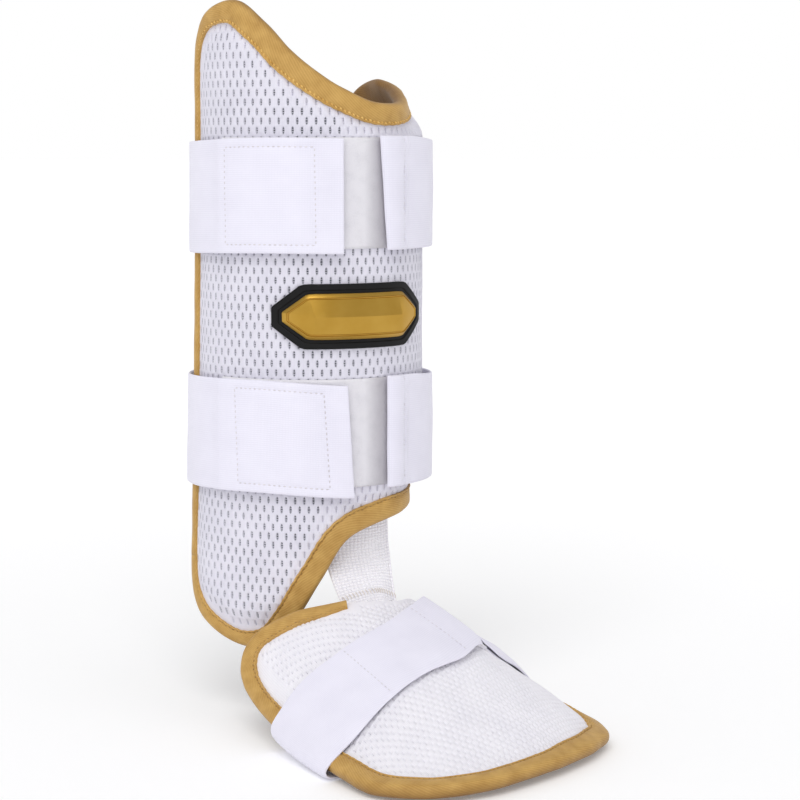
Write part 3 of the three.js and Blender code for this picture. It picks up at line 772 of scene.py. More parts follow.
OPEN_MESH = {"pitches": (0.9, 0.7), "depth": 0.14, "roughness": 0.8, "sheen": 0.15}
HOLE_EDGE = {"pitches": (0.9, 0.7), "depth": 0.12, "roughness": 0.9, "sheen": 0.0}
BACKING = {"pitches": (1.1, 1.1), "depth": 0.1, "roughness": 0.95, "sheen": 0.0}
BRUSHED = {"pitches": (1.4, 1.1), "depth": 0.25, "roughness": 0.95, "sheen": 0.1}
KNIT = {"pitches": (0.75, 1.1), "depth": 0.06, "roughness": 0.75, "sheen": 0.2}
HOOKED = {"pitches": (1.2, 1.2), "depth": 0.3, "roughness": 0.55, "sheen": 0.0}
OPEN_WEAVE = {"pitches": (WARP_PITCH, WEBBING.weft_pitch), "depth": 0.04, "roughness": 0.75, "sheen": 0.3}
TWISTED = {"pitches": (0.5, 3.0), "depth": 0.06, "roughness": 0.5, "sheen": 0.2, "turn": 30}

MESH = cloth("white_mesh", ("dad8e5", "e8e6f1"), **OPEN_MESH)
# Painted light: the shell's white mesh in a lighter tone, for the pad's upward face that the light falls on.
LIT_FOOT_MESH = cloth("foot_mesh_painted_light", ("eceaf2", "f7f5fb"), **OPEN_MESH)
# Painted shade: the sides of the shell's holes are greyer than the white yarn they are made of.
SHADED_HOLE_SIDE = cloth("hole_side_painted_shade", ("b3b3bd", "cbcad4"), **HOLE_EDGE)
SHELL_HOLE = cloth("mesh_backing", ("474a52", "868993"), **BACKING)
PALE_HOLE = cloth("pale_backing", ("d3d2da", "e2e1e8"), **BACKING)
# Painted shade: the floors of the foot's holes are greyer than its white backing.
SHADED_FOOT_HOLE = cloth("foot_backing_painted_shade", ("bcbbc6", "d2d1da"), **BACKING)
LINING_CLOTH = cloth("dark_lining", ("17181e", "2c2f38"), **BRUSHED)
TWILL = twill()
ELASTIC = cloth("white_elastic", ("e1dfed", "ebe9f6"), **KNIT)
LOOP_PILE = pile()
HOOK_TAPE = cloth("hook_tape", ("d8d8de", "ededf2"), **HOOKED)
WEBBING_YARN = cloth("webbing_yarn", ("eae8f0", "fcfaff"), **OPEN_WEAVE)
# One gold thread in two tones: painted shade in the pits of the lower seams, painted light along the seam at
# the top of the shell.
SHADED_GOLD_THREAD = cloth("gold_stitch_painted_shade", ("8a6526", "b08a45"), **TWISTED)
LIT_GOLD_THREAD = cloth("gold_stitch_painted_light", ("c9973f", "efc976"), **TWISTED)
# The strap thread is white-grey; it is a little darker here as painted shade in the dips where it is sewn.
WHITE_THREAD = cloth("white_thread", ("c6c1c5", "e1dde1"), **TWISTED)
PALE_THREAD = cloth("pale_thread", ("cfcbd4", "e6e3ea"), **TWISTED)
BEIGE_THREAD = cloth("beige_thread", ("d2cac5", "ece5df"), **TWISTED)


# The padding and its cover

SHELL_CELL = (4.86, 4.83)
SHELL_OVAL = Sizes(
    lip=(0.82, 2.2), lip_depth=0.22, half=(0.5, 1.98), taper=0.88, depth=1.0, yarn=0.24,
    threads=(-0.34, 0.3), thread=0.15, thread_reach=1.1, thread_depth=0.4,
)
FOOT_CELL = (4.3, 2.95)
FOOT_OVAL = Sizes(
    lip=(0.58, 1.42), lip_depth=0.19, half=(0.22, 1.31), taper=0.8, depth=0.6, yarn=0.25,
    threads=(0.0,), thread=0.13, thread_reach=1.1, thread_depth=0.34,
)
# The rows of the foot's cloth run aslant, nearer the toes on the inner side
FOOT_CLOTH_TURN = -0.2
ACROSS_MM = 100
# Mean size of the holes and how uneven it is; unevenness of the padding and of the lining
SHELL_HOLE_SIZE = Sizes(mean=0.95, uneven=0.08, pitch=43)
FOOT_HOLE_SIZE = Sizes(mean=1, uneven=0.03, pitch=30)
SHELL_SWELL = Sizes(depth=0.15, pitch=70)
FOOT_SWELL = Sizes(depth=0.2, pitch=60)
LINING_SWELL = Sizes(depth=0.25, pitch=38)
EDGE_DIP = Sizes(depth=0.8, fade=(9, 21))
# Cloth with no holes, from the rim in: beside the tape, and where the foot pad has none
PLAIN_EDGE = Sizes(upright=8.5, rim=10, foot=9, untaped=2.5)
# Where the cloth has a pale backing: a strip along the top, a wider one past this angle, and the bottom arch
PALE_TOP = Sizes(strip=16, angle=-7, past=26)
PALE_ARCH = table(
    "angle width",
    (-105, 10.5), (-67, 12), (-45, 15), (-30, 18.5), (0, 20), (60, 20), (134, 12),
)
RIM_INSET = 1.2
LINING_PARTS = Sizes(rib=8, height=90)


def edge_dip(margins):
    """How far the cover is drawn down to the tape at its edges."""
    return EDGE_DIP.depth * (1 - smoothstep(nearest(margins), *EDGE_DIP.fade))


def rim_limit(rim, column, scale, inset, turn=0):
    """A limit of a pad in the rows of its cloth, as a function of the place across it."""
    return lambda x: straight_at(rim, x / scale, column) + inset - turn * x


def shell_cover(x, z, rise):
    angle = x / ARC
    dip = edge_dip(shell_margins(angle, z))
    return shell_out(angle, z, rise - dip + SHELL_SWELL.depth * ripple(x, z, SHELL_SWELL.pitch))


def across_slope(angle, column):
    """Share of an upright distance that is left straight across to a sloping rim."""
    slope = np.gradient(SHELL_RIM[column], SHELL_RIM["angle"] * ARC)
    return np.interp(angle, SHELL_RIM["angle"], 1 / np.sqrt(1 + slope ** 2))


def hole_sizes(x, z, open_cloth, size):
    return np.where(open_cloth, size.mean + size.uneven * ripple(x, z, size.pitch), 0)


def shell_holes(x, z):
    """Sizes of the mesh holes, none by the tape and uneven elsewhere, and whether each is a pale one."""
    angle = x / ARC
    rear, front, top, bottom = shell_margins(angle, z)
    top = top * across_slope(angle, "top")
    bottom = bottom * across_slope(angle, "bottom")
    open_cloth = np.minimum(rear, front) > PLAIN_EDGE.upright
    open_cloth &= np.minimum(top, bottom) > PLAIN_EDGE.rim
    pale = top < np.where(angle > PALE_TOP.angle, PALE_TOP.past, PALE_TOP.strip)
    pale |= bottom < straight_at(PALE_ARCH, angle, "width")
    return hole_sizes(x, z, open_cloth, SHELL_HOLE_SIZE), pale


def shin_shell():
    first, last = SHELL_RIBS["angle"][[0, -1]] * ARC
    mesh_pad(
        "shin_cover", "shin_shell", (first + RIM_INSET, last - RIM_INSET),
        (rim_limit(SHELL_RIM, "bottom", ARC, RIM_INSET), rim_limit(SHELL_RIM, "top", ARC, -RIM_INSET)),
        SHELL_CELL, SHELL_OVAL, shell_holes, shell_cover,
        lambda x, z: shell_out(x / ARC, z, -shell_depths(x / ARC, z)[0]),
        [MESH, MESH, SHADED_HOLE_SIDE, SHELL_HOLE, PALE_HOLE],
    )


def shell_lining():
    rim = smooth_rows(SHELL_RIBS, LINING_PARTS.rib)
    share = np.linspace(0, 1, LINING_PARTS.height)[None]
    angle = rim["angle"][:, None] + 0 * share
    height = lerp(rim["bottom"][:, None] + RIM_INSET, rim["top"][:, None] - RIM_INSET, share)
    padding, lining = shell_depths(angle, height)
    soft = LINING_SWELL.depth * ripple(angle * ARC, height, LINING_SWELL.pitch)
    outer = shell_out(angle, height, -padding - GAP)
    inner = shell_out(angle, height, -lining + soft)
    made = slab("shin_lining", outer, inner, spread(angle * ARC, height), LINING_CLOTH)
    dress(made, "lining", "shell_lining")


def foot_cover(x, z, rise):
    across = x / ACROSS_MM
    dip = edge_dip(foot_margins(across, z))
    return foot_out(across, z, rise - dip + FOOT_SWELL.depth * ripple(x, z, FOOT_SWELL.pitch))


def foot_holes(x, z):
    """Sizes of the foot's mesh holes, which go nearer to the rear edge where it has no tape; none is pale."""
    across = x / ACROSS_MM
    rear, toe, side = foot_margins(across, z)
    untaped = (across > FOOT_TAPE_ENDS.medial) & (across < FOOT_TAPE_ENDS.lateral)
    rear = rear + np.where(untaped, PLAIN_EDGE.foot - PLAIN_EDGE.untaped, 0)
    open_cloth = nearest((rear, toe, side)) > PLAIN_EDGE.foot
    return hole_sizes(x, z, open_cloth, FOOT_HOLE_SIZE), np.zeros(len(x), bool)


def foot_pad():
    reach = (1 - RIM_INSET / ACROSS_MM) * ACROSS_MM

    def straightened(x, z):
        return z + FOOT_CLOTH_TURN * x

    mesh_pad(
        "foot_cover", "foot_pad", (-reach, reach),
        (
            rim_limit(FOOT_RIM, "rear", ACROSS_MM, RIM_INSET, FOOT_CLOTH_TURN),
            rim_limit(FOOT_RIM, "toe", ACROSS_MM, -RIM_INSET, FOOT_CLOTH_TURN),
        ),
        FOOT_CELL, FOOT_OVAL,
        lambda x, z: foot_holes(x, straightened(x, z)),
        lambda x, z, rise: foot_cover(x, straightened(x, z), rise),
        lambda x, z: foot_in(x / ACROSS_MM, straightened(x, z), 0 * x),
        [LIT_FOOT_MESH, LINING_CLOTH, LIT_FOOT_MESH, SHADED_FOOT_HOLE, SHADED_FOOT_HOLE],
    )


# The folded tape

TAPE_STEP = 1.3
TAPE_WALL = 1.2
TAPE_EASE = 16
TAPE_SIDE_PARTS = Sizes(shell=60, foot=50)
# From the tape's edge to its fold: distance in from the rim, and height above the cloth
TAPE_SIDE = (
    (10.7, -0.7), (11.0, 0.2), (10.75, 0.85), (10.2, 1.0), (9.5, 0.45), (8.7, 1.05), (6.4, 1.5), (4.2, 1.6),
)
TAPE_SEAM = 4
TAPE_FOLD = Sizes(start=1.8, reach=3.4, puff=1.6, parts=11)
TAPE_INSIDE = 1.75
TAPE_STITCH = Sizes(pitch=2.6, length=2.0, radius=0.42, slant=0.5)
TAPE_KNOT = Sizes(pitch=2.6, length=2.1, radius=0.52, slant=0.9)
# Height above which the tape's seam takes the painted light tone of its thread.
LIT_SEAM_ABOVE = 95
TAPE_PUCKER = Sizes(pitch=5.2, depth=0.16, edge=0.22, width=2.0)
TAPE_SWAY = Sizes(depth=0.3, pitch=55)
TAPE_RIPPLE = Sizes(depth=0.15, pitch=23, across=12)
# Share of its full width that the tape covers on the outside: along the top and the bottom of the shell,
# and along the rear and the toe edge of the foot pad
SHELL_COVER = table(
    "angle top bottom",
    (-104.5, 0.6, 0.68), (-97, 0.62, 0.68), (-86, 0.8, 0.64), (-67, 1, 0.62), (-50, 1, 0.78), (-30, 1, 1.0),
    (-8, 0.98, 1.07), (10, 0.95, 1.0), (34, 0.87, 0.9), (60, 0.78, 0.87), (133.5, 0.9, 0.9),
)
COVER_BLEND = (-60, 60)
FOOT_COVER = table(
    "across rear toe",
    (-1, 0.85, 0.85), (-0.8, 0.88, 0.82), (-0.62, 0.86, 0.76), (-0.45, 0.66, 0.72), (-0.32, 0.42, 0.72),
    (0, 0.6, 0.84), (0.2, 0.7, 0.94), (1, 0.75, 0.94),
)
FOOT_MIDDLE = 100


def tape_profile(thickness, wall):
    """Distance in from the rim and depth below the outer face, along a face of the tape."""
    turn = np.linspace(0, np.pi, TAPE_FOLD.parts)
    half = thickness / 2
    fold_in = TAPE_FOLD.start - (TAPE_FOLD.reach - wall) * np.sin(turn)
    fold_down = half - (half + TAPE_FOLD.puff - wall) * np.cos(turn)
    side = np.array(TAPE_SIDE) * (1, -1) + (0, wall)
    far_side = side[::-1] * (TAPE_INSIDE, -1) + (0, thickness)
    return np.concatenate([side, spread(fold_in, fold_down), far_side])


def inward_steps(face, rim, closed):
    """At each place of a rim, the change of place that goes one millimetre in from it."""
    u, v = rim.T
    flat = np.zeros_like(u)
    along_u = (face(u + RIM_NUDGE, v, flat) - face(u - RIM_NUDGE, v, flat)) / (2 * RIM_NUDGE)
    along_v = (face(u, v + RIM_NUDGE, flat) - face(u, v - RIM_NUDGE, flat)) / (2 * RIM_NUDGE)
    spots = face(u, v, flat)
    normal = unit(face(u, v, flat + 1) - spots)
    ahead = np.roll(spots, -1, 0) - np.roll(spots, 1, 0)
    if not closed:
        ahead[0], ahead[-1] = spots[1] - spots[0], spots[-1] - spots[-2]
    inward = unit(np.cross(normal, unit(ahead)))
    uu, uv, vv = ((a * b).sum(1) for a, b in ((along_u, along_u), (along_u, along_v), (along_v, along_v)))
    iu, iv = (inward * along_u).sum(1), (inward * along_v).sum(1)
    scale = uu * vv - uv * uv
    return spread((iu * vv - iv * uv) / scale, (iv * uu - iu * uv) / scale)


def eased(rows, closed):
    """Rows of numbers along a line, each drawn towards its neighbours."""
    for _ in range(TAPE_EASE):
        before, after = np.roll(rows, 1, 0), np.roll(rows, -1, 0)
        if not closed:
            before[0], after[-1] = rows[0], rows[-1]
        rows = (before + 2 * rows + after) / 4
    return rows


def runs(flags, closed):
    """Places of each unbroken run of true flags along a line, which may be closed."""
    order = np.arange(len(flags))
    if closed and not flags.all():
        order = np.roll(order, -np.flatnonzero(~flags)[0])
    breaks = np.flatnonzero(np.diff(flags[order])) + 1
    return [run for run in np.split(order, breaks) if flags[run[0]]]


def folded_tape(name, node, rim, cover_at, out_face, in_face, thickness, closed):
    """Tape folded over an edge and sewn down through both sides; cover_at gives its width's share."""
    rim = resample(rim, out_face(*rim.T, np.zeros(len(rim))), TAPE_STEP)
    if closed:
        rim = rim[:-1]
    inward = eased(inward_steps(out_face, rim, closed), closed)
    cover = eased(cover_at(*rim.T), closed)
    along = np.arange(len(rim)) * TAPE_STEP
    pucker = np.cos(2 * np.pi * along / TAPE_PUCKER.pitch)[:, None]
    sway = TAPE_SWAY.depth * ripple(along, 0 * along, TAPE_SWAY.pitch)[:, None]

    def surface(profile):
        inwards, down = profile[None, :, 0], profile[None, :, 1]
        flat_part = inwards > TAPE_FOLD.start
        outside = down < thickness / 2
        reach = inwards * np.where(flat_part & outside, cover[:, None], 1) + sway * flat_part
        near_seam = groove(inwards - TAPE_SIDE[TAPE_SEAM][0], TAPE_PUCKER.width)
        reach = reach + TAPE_PUCKER.edge * near_seam * pucker
        below = np.where(outside, 1, -1)
        uneven = ripple(along[:, None], TAPE_RIPPLE.across * down, TAPE_RIPPLE.pitch)
        depth = down + below * TAPE_PUCKER.depth * near_seam * pucker
        depth = depth - below * TAPE_RIPPLE.depth * uneven
        u = rim[:, :1] + inward[:, :1] * reach
        v = rim[:, 1:] + inward[:, 1:] * reach
        return lerp(out_face(u, v, 0 * u), in_face(u, v, 0 * u), (depth / thickness)[..., None])

    profile = tape_profile(thickness, 0)
    outer = surface(profile)
    inner = surface(tape_profile(thickness, TAPE_WALL))
    weave = spread(along[:, None], lengths(profile)[None])
    dress(slab(name, outer, inner, weave, TWILL, closed), "tape", node)
    raised = surface(profile + np.where(profile[:, 1:] < thickness / 2, (0, -1), (0, 1)))
    sides = (TAPE_SEAM, len(profile) - 1 - TAPE_SEAM)
    seams = [(outer[:, k], unit(raised[:, k] - outer[:, k])) for k in sides]
    # Stitches above this height take the painted light tone, the rest the painted shade tone.
    bright = seams[0][0][:, 2] > LIT_SEAM_ABOVE

    def parts(flags):
        return [(points[run], normals[run]) for points, normals in seams for run in runs(flags, closed)]

    if bright.any():
        sew(name + "_knots", parts(bright), TAPE_KNOT, LIT_GOLD_THREAD, "tape")
    sew(name + "_stitches", parts(~bright), TAPE_STITCH, SHADED_GOLD_THREAD, "tape")


def rim_side(place, start, end, parts):
    """Places between the ends of a straight side of a rim."""
    return spread(place, lerp(start, end, np.linspace(0, 1, parts)[1:-1]))


def shell_binding():
    angle, top, bottom = SHELL_RIM.values()
    rim = np.concatenate([
        spread(angle, bottom), rim_side(angle[-1], bottom[-1], top[-1], TAPE_SIDE_PARTS.shell),
        spread(angle, top)[::-1], rim_side(angle[0], top[0], bottom[0], TAPE_SIDE_PARTS.shell),
        [[angle[0], bottom[0]]],
    ])
    thickness = SHELL_PADDING.rim + GAP + LINING.rim
    folded_tape("shell_tape", "shell_binding", rim, shell_tape_cover, shell_out, shell_in, thickness, True)


def shell_tape_cover(angle, height):
    bottom, top = (straight_at(SHELL_COVER, angle, column) for column in ("bottom", "top"))
    return lerp(bottom, top, smoothstep(height, *COVER_BLEND))


def foot_tape_cover(across, along):
    rear, toe = (straight_at(FOOT_COVER, across, column) for column in ("rear", "toe"))
    return np.where(along < FOOT_MIDDLE, rear, toe)


def foot_binding():
    across, rear, toe = FOOT_RIM.values()
    rear_edge = spread(across, rear)[::-1]
    rim = np.concatenate([
        rear_edge[rear_edge[:, 0] < FOOT_TAPE_ENDS.medial],
        rim_side(-1, rear[0], toe[0], TAPE_SIDE_PARTS.foot), spread(across, toe),
        rim_side(1, toe[-1], rear[-1], TAPE_SIDE_PARTS.foot),
        rear_edge[rear_edge[:, 0] > FOOT_TAPE_ENDS.lateral],
    ])
    folded_tape("foot_tape", "foot_binding", rim, foot_tape_cover, foot_out, foot_in, FOOT_PADDING.rim, False)


# The leg straps

# Places across a strap, from an edge to its middle, closer together at its edges and seams
STRAP_LINES = (0, 0.35, 0.9, 2, 3.4, 4.1, 4.6, 5.1, 5.8, 8, 12, 17, 23, 29.75)
STRAP_STEP = 1.2
STRAP_LENGTH = 380
STRAP_END_LINES = (0.3, 0.7, 1.2, 2.0)
STRAP_EDGE = Sizes(radius=0.9, least=0.06)
STRAP_BELLY = Sizes(depth=0.4, top=2.0, top_power=4, start=(24, 60), end=(110, 150))
STRAP_SWELL = Sizes(depth=0.18, pitch=47)
TAB_LIFT = Sizes(height=0.8, at=(343, 352))
SEAM_PULL = Sizes(depth=0.35, width=0.9)
HOOK_SEAM_MARGIN = 4.6
STRAP_STITCH = Sizes(pitch=2.7, length=1.8, radius=0.3, slant=0)
SEAM_POINTS = 60
# The folded hem: its rounded end, its swelling on both sides of the seam, and the folds that the seam draws
HEM_END = Sizes(radius=2.6, least=0.02, fade=2.5)
HEM_FOLD = Sizes(puff=1.2, ridge=0.6, ridge_width=2.2, pinch=1.2)
HEM_WRINKLE = Sizes(depth=0.5, width=5, along=3, across=0.4, pitch=15)
HEM_STITCH = Sizes(margin=1, sunk=0.6)
# The two kinds of band under the straps, and how thin a loop band is pressed under a hem
LOOP = Sizes(
    look=LOOP_PILE, slot="loop", piece="_pile", node="_loop_band", thickness=1.6, step=0.9, nap=0.12,
)
HOOK = Sizes(
    look=HOOK_TAPE, slot="hook", piece="_hooks", node="_hook_patch", thickness=1.2, step=1.1, nap=0.08,
)
BAND_EDGE = Sizes(least=0.4, width=1.0)
NAP_SEED = Sizes(leg=7, foot=11)
BAND_UNDER_HEM = Sizes(angles=(0, 9), left=0.45)


def strap_place(name, angle, across, depth):
    """A point of a leg strap; the depth is counted outwards from its inner face."""
    height = LEG_STRAPS[name].bottom - curve_at(STRAP_DROP, angle, name) + across
    side = np.where(angle > 180, angle - 360, angle)
    lift = TAB_LIFT.height * smoothstep(angle, *TAB_LIFT.at)
    lift = lift + STRAP_SWELL.depth * ripple(angle * ARC, across, STRAP_SWELL.pitch)
    share = np.clip(across / STRAP.width, 0, 1)
    outer_side = smoothstep(angle, *STRAP_BELLY.start) * (1 - smoothstep(angle, *STRAP_BELLY.end))
    lift = lift + STRAP_BELLY.depth * outer_side * (1 - (2 * share - 1) ** 2)
    height = height - STRAP_BELLY.top * outer_side * share ** STRAP_BELLY.top_power
    radius = curve_at(STRAP_ROUTE, angle, "radius") + ankle_flare(side, height)
    return polar(side, radius + lift + depth, height)


def hook_ends(name, across):
    """Angles of the rear and the front end of the hook patch, at places across its strap."""
    return (lerp(*ends, across / STRAP.width) for ends in LEG_STRAPS[name].hooks)


def hook_seams(name, angle, across):
    """Distance from the rectangle of stitches that holds the hook patch."""
    side = angle - 360
    rear, front = hook_ends(name, across)
    outside_angle = np.maximum(rear - side, side - front) * ARC
    outside_height = np.maximum(HOOK_SEAM_MARGIN - across, across - STRAP.width + HOOK_SEAM_MARGIN)
    return np.maximum(outside_angle, outside_height)


def hem_relief(angle, across, far):
    """How far the folded hem swells on both sides of its seam, with the small folds that the thread draws."""
    past = (angle - HEM_SEAM) * ARC
    share = np.clip(far / (far - past), 0, 1)
    swell = HEM_FOLD.puff * np.sin(np.pi * share) * (past < 0)
    ridge = HEM_FOLD.ridge * groove(past - HEM_FOLD.ridge_width, HEM_FOLD.ridge_width / 2)
    aslant = HEM_WRINKLE.along * past + HEM_WRINKLE.across * across
    folds = HEM_WRINKLE.depth * groove(past, HEM_WRINKLE.width) * ripple(aslant, across, HEM_WRINKLE.pitch)
    return swell + ridge + folds - HEM_FOLD.pinch * groove(past, SEAM_PULL.width)


def leg_strap(name):
    low = np.array(STRAP_LINES)
    across = np.concatenate([low, (STRAP.width - low[:-1])[::-1]])[None]
    share = across / STRAP.width
    start, end = lerp(*LEG_STRAPS[name].hem, share), lerp(*LEG_STRAPS[name].tab, share)
    way = np.linspace(0, 1, int((end.mean() - start.mean()) * ARC / STRAP_STEP))
    tight_ends = np.array(STRAP_END_LINES) / STRAP_LENGTH
    way = np.sort(np.concatenate([way, tight_ends, 1 - tight_ends]))[:, None]
    angle = lerp(start, end, way)
    far = (angle - start) * ARC
    to_tab = (end - angle) * ARC
    hem = 1 - smoothstep(angle, HEM_SEAM, HEM_SEAM + HEM_END.fade)
    full = lerp(STRAP.thickness, STRAP.hem, hem)
    rounded = rounding(np.minimum(across, STRAP.width - across), STRAP_EDGE.radius, STRAP_EDGE.least)
    fold = rounding(far, HEM_END.radius, HEM_END.least)
    tip = rounding(to_tab, STRAP_EDGE.radius, STRAP_EDGE.least)
    half = full / 2 * rounded * fold * tip
    seams = SEAM_PULL.depth * groove(hook_seams(name, angle, across), SEAM_PULL.width)
    outer = strap_place(name, angle, across, full / 2 + half - seams + hem_relief(angle, across, far))
    inner = strap_place(name, angle, across, full / 2 - half)
    made = slab(name + "_elastic", outer, inner, spread(angle * ARC, across), ELASTIC)
    dress(made, "elastic", name + "_strap")
    leg_strap_seams(name)


def leg_strap_seams(name):
    low, high = HOOK_SEAM_MARGIN, STRAP.width - HOOK_SEAM_MARGIN
    share = np.linspace(0, 1, SEAM_POINTS)
    upright = lerp(low, high, share)
    rear, front = (ends + 360 for ends in hook_ends(name, upright))
    rectangle = [
        (lerp(rear[0], front[0], share), low + 0 * share),
        (lerp(rear[-1], front[-1], share), high + 0 * share),
        (rear, upright), (front, upright),
    ]
    hem = (HEM_SEAM + 0 * share, lerp(HEM_STITCH.margin, STRAP.width - HEM_STITCH.margin, share))

    def line(angle, across, depth):
        spot = strap_place(name, angle, across, depth - SEAM_PULL.depth)
        return spot, unit(strap_place(name, angle, across, depth + 1) - spot)

    hook_lines = [line(*seam, STRAP.thickness) for seam in rectangle]
    sew(name + "_elastic_stitches", hook_lines, STRAP_STITCH, WHITE_THREAD, "elastic")
    hem_lines = [line(*hem, STRAP.hem - HEM_STITCH.sunk)]
    sew(name + "_hem_stitches", hem_lines, STRAP_STITCH, PALE_THREAD, "elastic")


def leg_band(name, band, kind):
    """A flat band under a leg strap, with a nap of uneven height on its outer face."""
    width = STRAP.width - 2 * band.margin
    first, last = band.angles
    across = np.linspace(0, width, int(width / kind.step))[None]
    angle = np.linspace(first, last, int((last - first) * ARC / kind.step))[:, None]
    low = LEG_STRAPS[name].bottom + band.margin
    height = low - (curve_at(STRAP_DROP, angle + 360, name) if band.drops else 0) + across
    edge = np.minimum(across, width - across)
    rounded = lerp(BAND_EDGE.least, 1, smoothstep(edge, 0, BAND_EDGE.width))
    nap = kind.nap * np.random.default_rng(NAP_SEED.leg).uniform(-1, 1, (angle.shape[0], across.shape[1]))
    radius = band.radius + ankle_flare(angle, height)
    pressed = lerp(1, BAND_UNDER_HEM.left, smoothstep(angle, *BAND_UNDER_HEM.angles))
    outer = polar(angle, radius + kind.thickness * rounded * pressed + nap, height)
    inner = polar(angle, radius, height)
    made = slab(name + kind.piece, outer, inner, spread(angle * ARC, across), kind.look)
    dress(made, kind.slot, name + kind.node)


# The badge

BADGE_PARTS = 14
BADGE_SHARP = 16
# From the edge of the base in to the outline of the plate: share of the way, and height
BASE_RINGS = (
    (0, 0.1), (0, 1.5), (0.03, 1.95), (0.1, 2.2), (0.55, 2.2), (0.62, 2.05), (0.68, 1.6), (1, 1.6),
)
# The plate's rim, bevel, groove and raised middle: share of its outline, and height
PLATE_RINGS = ((1, 1.7), (1, 2.4), (0.97, 2.8), (0.84, 3.9), (0.815, 3.4), (0.785, 3.4), (0.76, 3.8))
PLATE_RIDGE = 6.0


def badge_outline(rows):
    """Points round a badge outline: place along it and up from its middle."""
    along, half = rows["along"], rows["half"]
    corners = np.concatenate([spread(along, half), spread(along, -half)[::-1]])
    following = np.roll(corners, -1, 0)
    share = np.linspace(0, 1, BADGE_PARTS, endpoint=False)[None, :, None]
    points = lerp(corners[:, None], following[:, None], share).reshape(-1, 2)
    return (np.roll(points, 1, 0) + 2 * points + np.roll(points, -1, 0)) / 4


def badge_piece(name, outer, inner, spine, rings, top, look, slot, node):
    """A moulding bent over the shell's front: rings between two outlines, closed at its back and top."""
    outlines = [(lerp(outer, inner, share), height) for share, height in rings]
    outlines = [(spine, rings[0][1])] + outlines + [(spine, top)]
    points = []
    for places, height in outlines:
        angle = BADGE.angle + places[:, 0] / ARC
        up = BADGE.height + places[:, 1]
        points.append(polar(angle, shell_face(angle, up) + height, up))
    points = np.concatenate(points)
    faces = loft(len(outlines), len(spine))
    dress(finish_mesh(name, points, faces, points[:, ::2], [look], sharp=BADGE_SHARP), slot, node)


def badge():
    base, plate = badge_outline(BADGE_BASE), badge_outline(BADGE_PLATE)
    spine = spread(np.clip(plate[:, 0], -BADGE.spine, BADGE.spine), 0)
    seat = BASE_RINGS[-1][1]
    badge_piece("badge_base_moulding", base, plate, spine, BASE_RINGS, seat, rubber(), "rubber", "badge_base")
    badge_piece(
        "badge_plate_moulding", spine, plate, spine, PLATE_RINGS, PLATE_RIDGE,
        satin_gold(), "gold", "badge_plate",
    )


# The foot strap and its bands

FOOT_STRAP_LINES = 13
FOOT_STRAP_KNOTS = Sizes(tab=17, hem=7, parts=8)
FOOT_STRAP_EDGE = Sizes(share=0.03, least=0.25)
FOOT_STRAP_TIP = Sizes(radius=1.5, least=0.1)
# The foot strap's hem: a ridge along it, at a share of its width, and the small folds of its toe edge
FOOT_RIDGE = Sizes(height=1.7, at=0.72, width=0.2, start=(0.42, 0.54), end=(0.75, 1))
FOOT_RUMPLE = Sizes(depth=0.5, pitch=14)
# How far the toe edge of the foot strap turns down to the pad, and how close to the edge it starts to
FOOT_DROOP = Sizes(depth=1.9, power=12)
# Seams across the foot strap: places of their ends, and the share of its width that they start and stop at
FOOT_SEAMS = ((-0.585, -0.56), (-0.07, 0.045))
FOOT_SEAM_SPAN = (0.03, 0.97)
FOOT_BAND_GRID = (140, 40)


def strap_row(across, column):
    return curve_at(FOOT_STRAP_ROWS, across, column)


def foot_band_places(band, count, lines):
    """Places across and along the pad of a band over it; its first end is cut at a slant."""
    share = np.linspace(0, 1, count)[:, None]
    along_share = np.linspace(0, 1, lines)[None]
    across = lerp(*band.ends, share) - band.slant * (1 - share) * (1 - along_share)
    along = lerp(strap_row(across, "rear") + band.inset, strap_row(across, "front") - band.inset, along_share)
    return across, along


def sole_turn(column, side):
    """Lines of the strap where it turns under one edge of the pad, on to the floor."""
    along = lerp(strap_row(side, "rear"), strap_row(side, "front"), np.linspace(0, 1, FOOT_STRAP_LINES))
    lines = []
    for out, below in SOLE_TURN:
        across = side * (foot_section(along, column) + out)
        lines.append(spread(across, -along, foot_section(along, "edge") - below))
    return np.array(lines)


def surface_normals(grid):
    """Normals of a grid of points, station by station."""
    return unit(np.cross(np.gradient(grid, axis=0), np.gradient(grid, axis=1)))


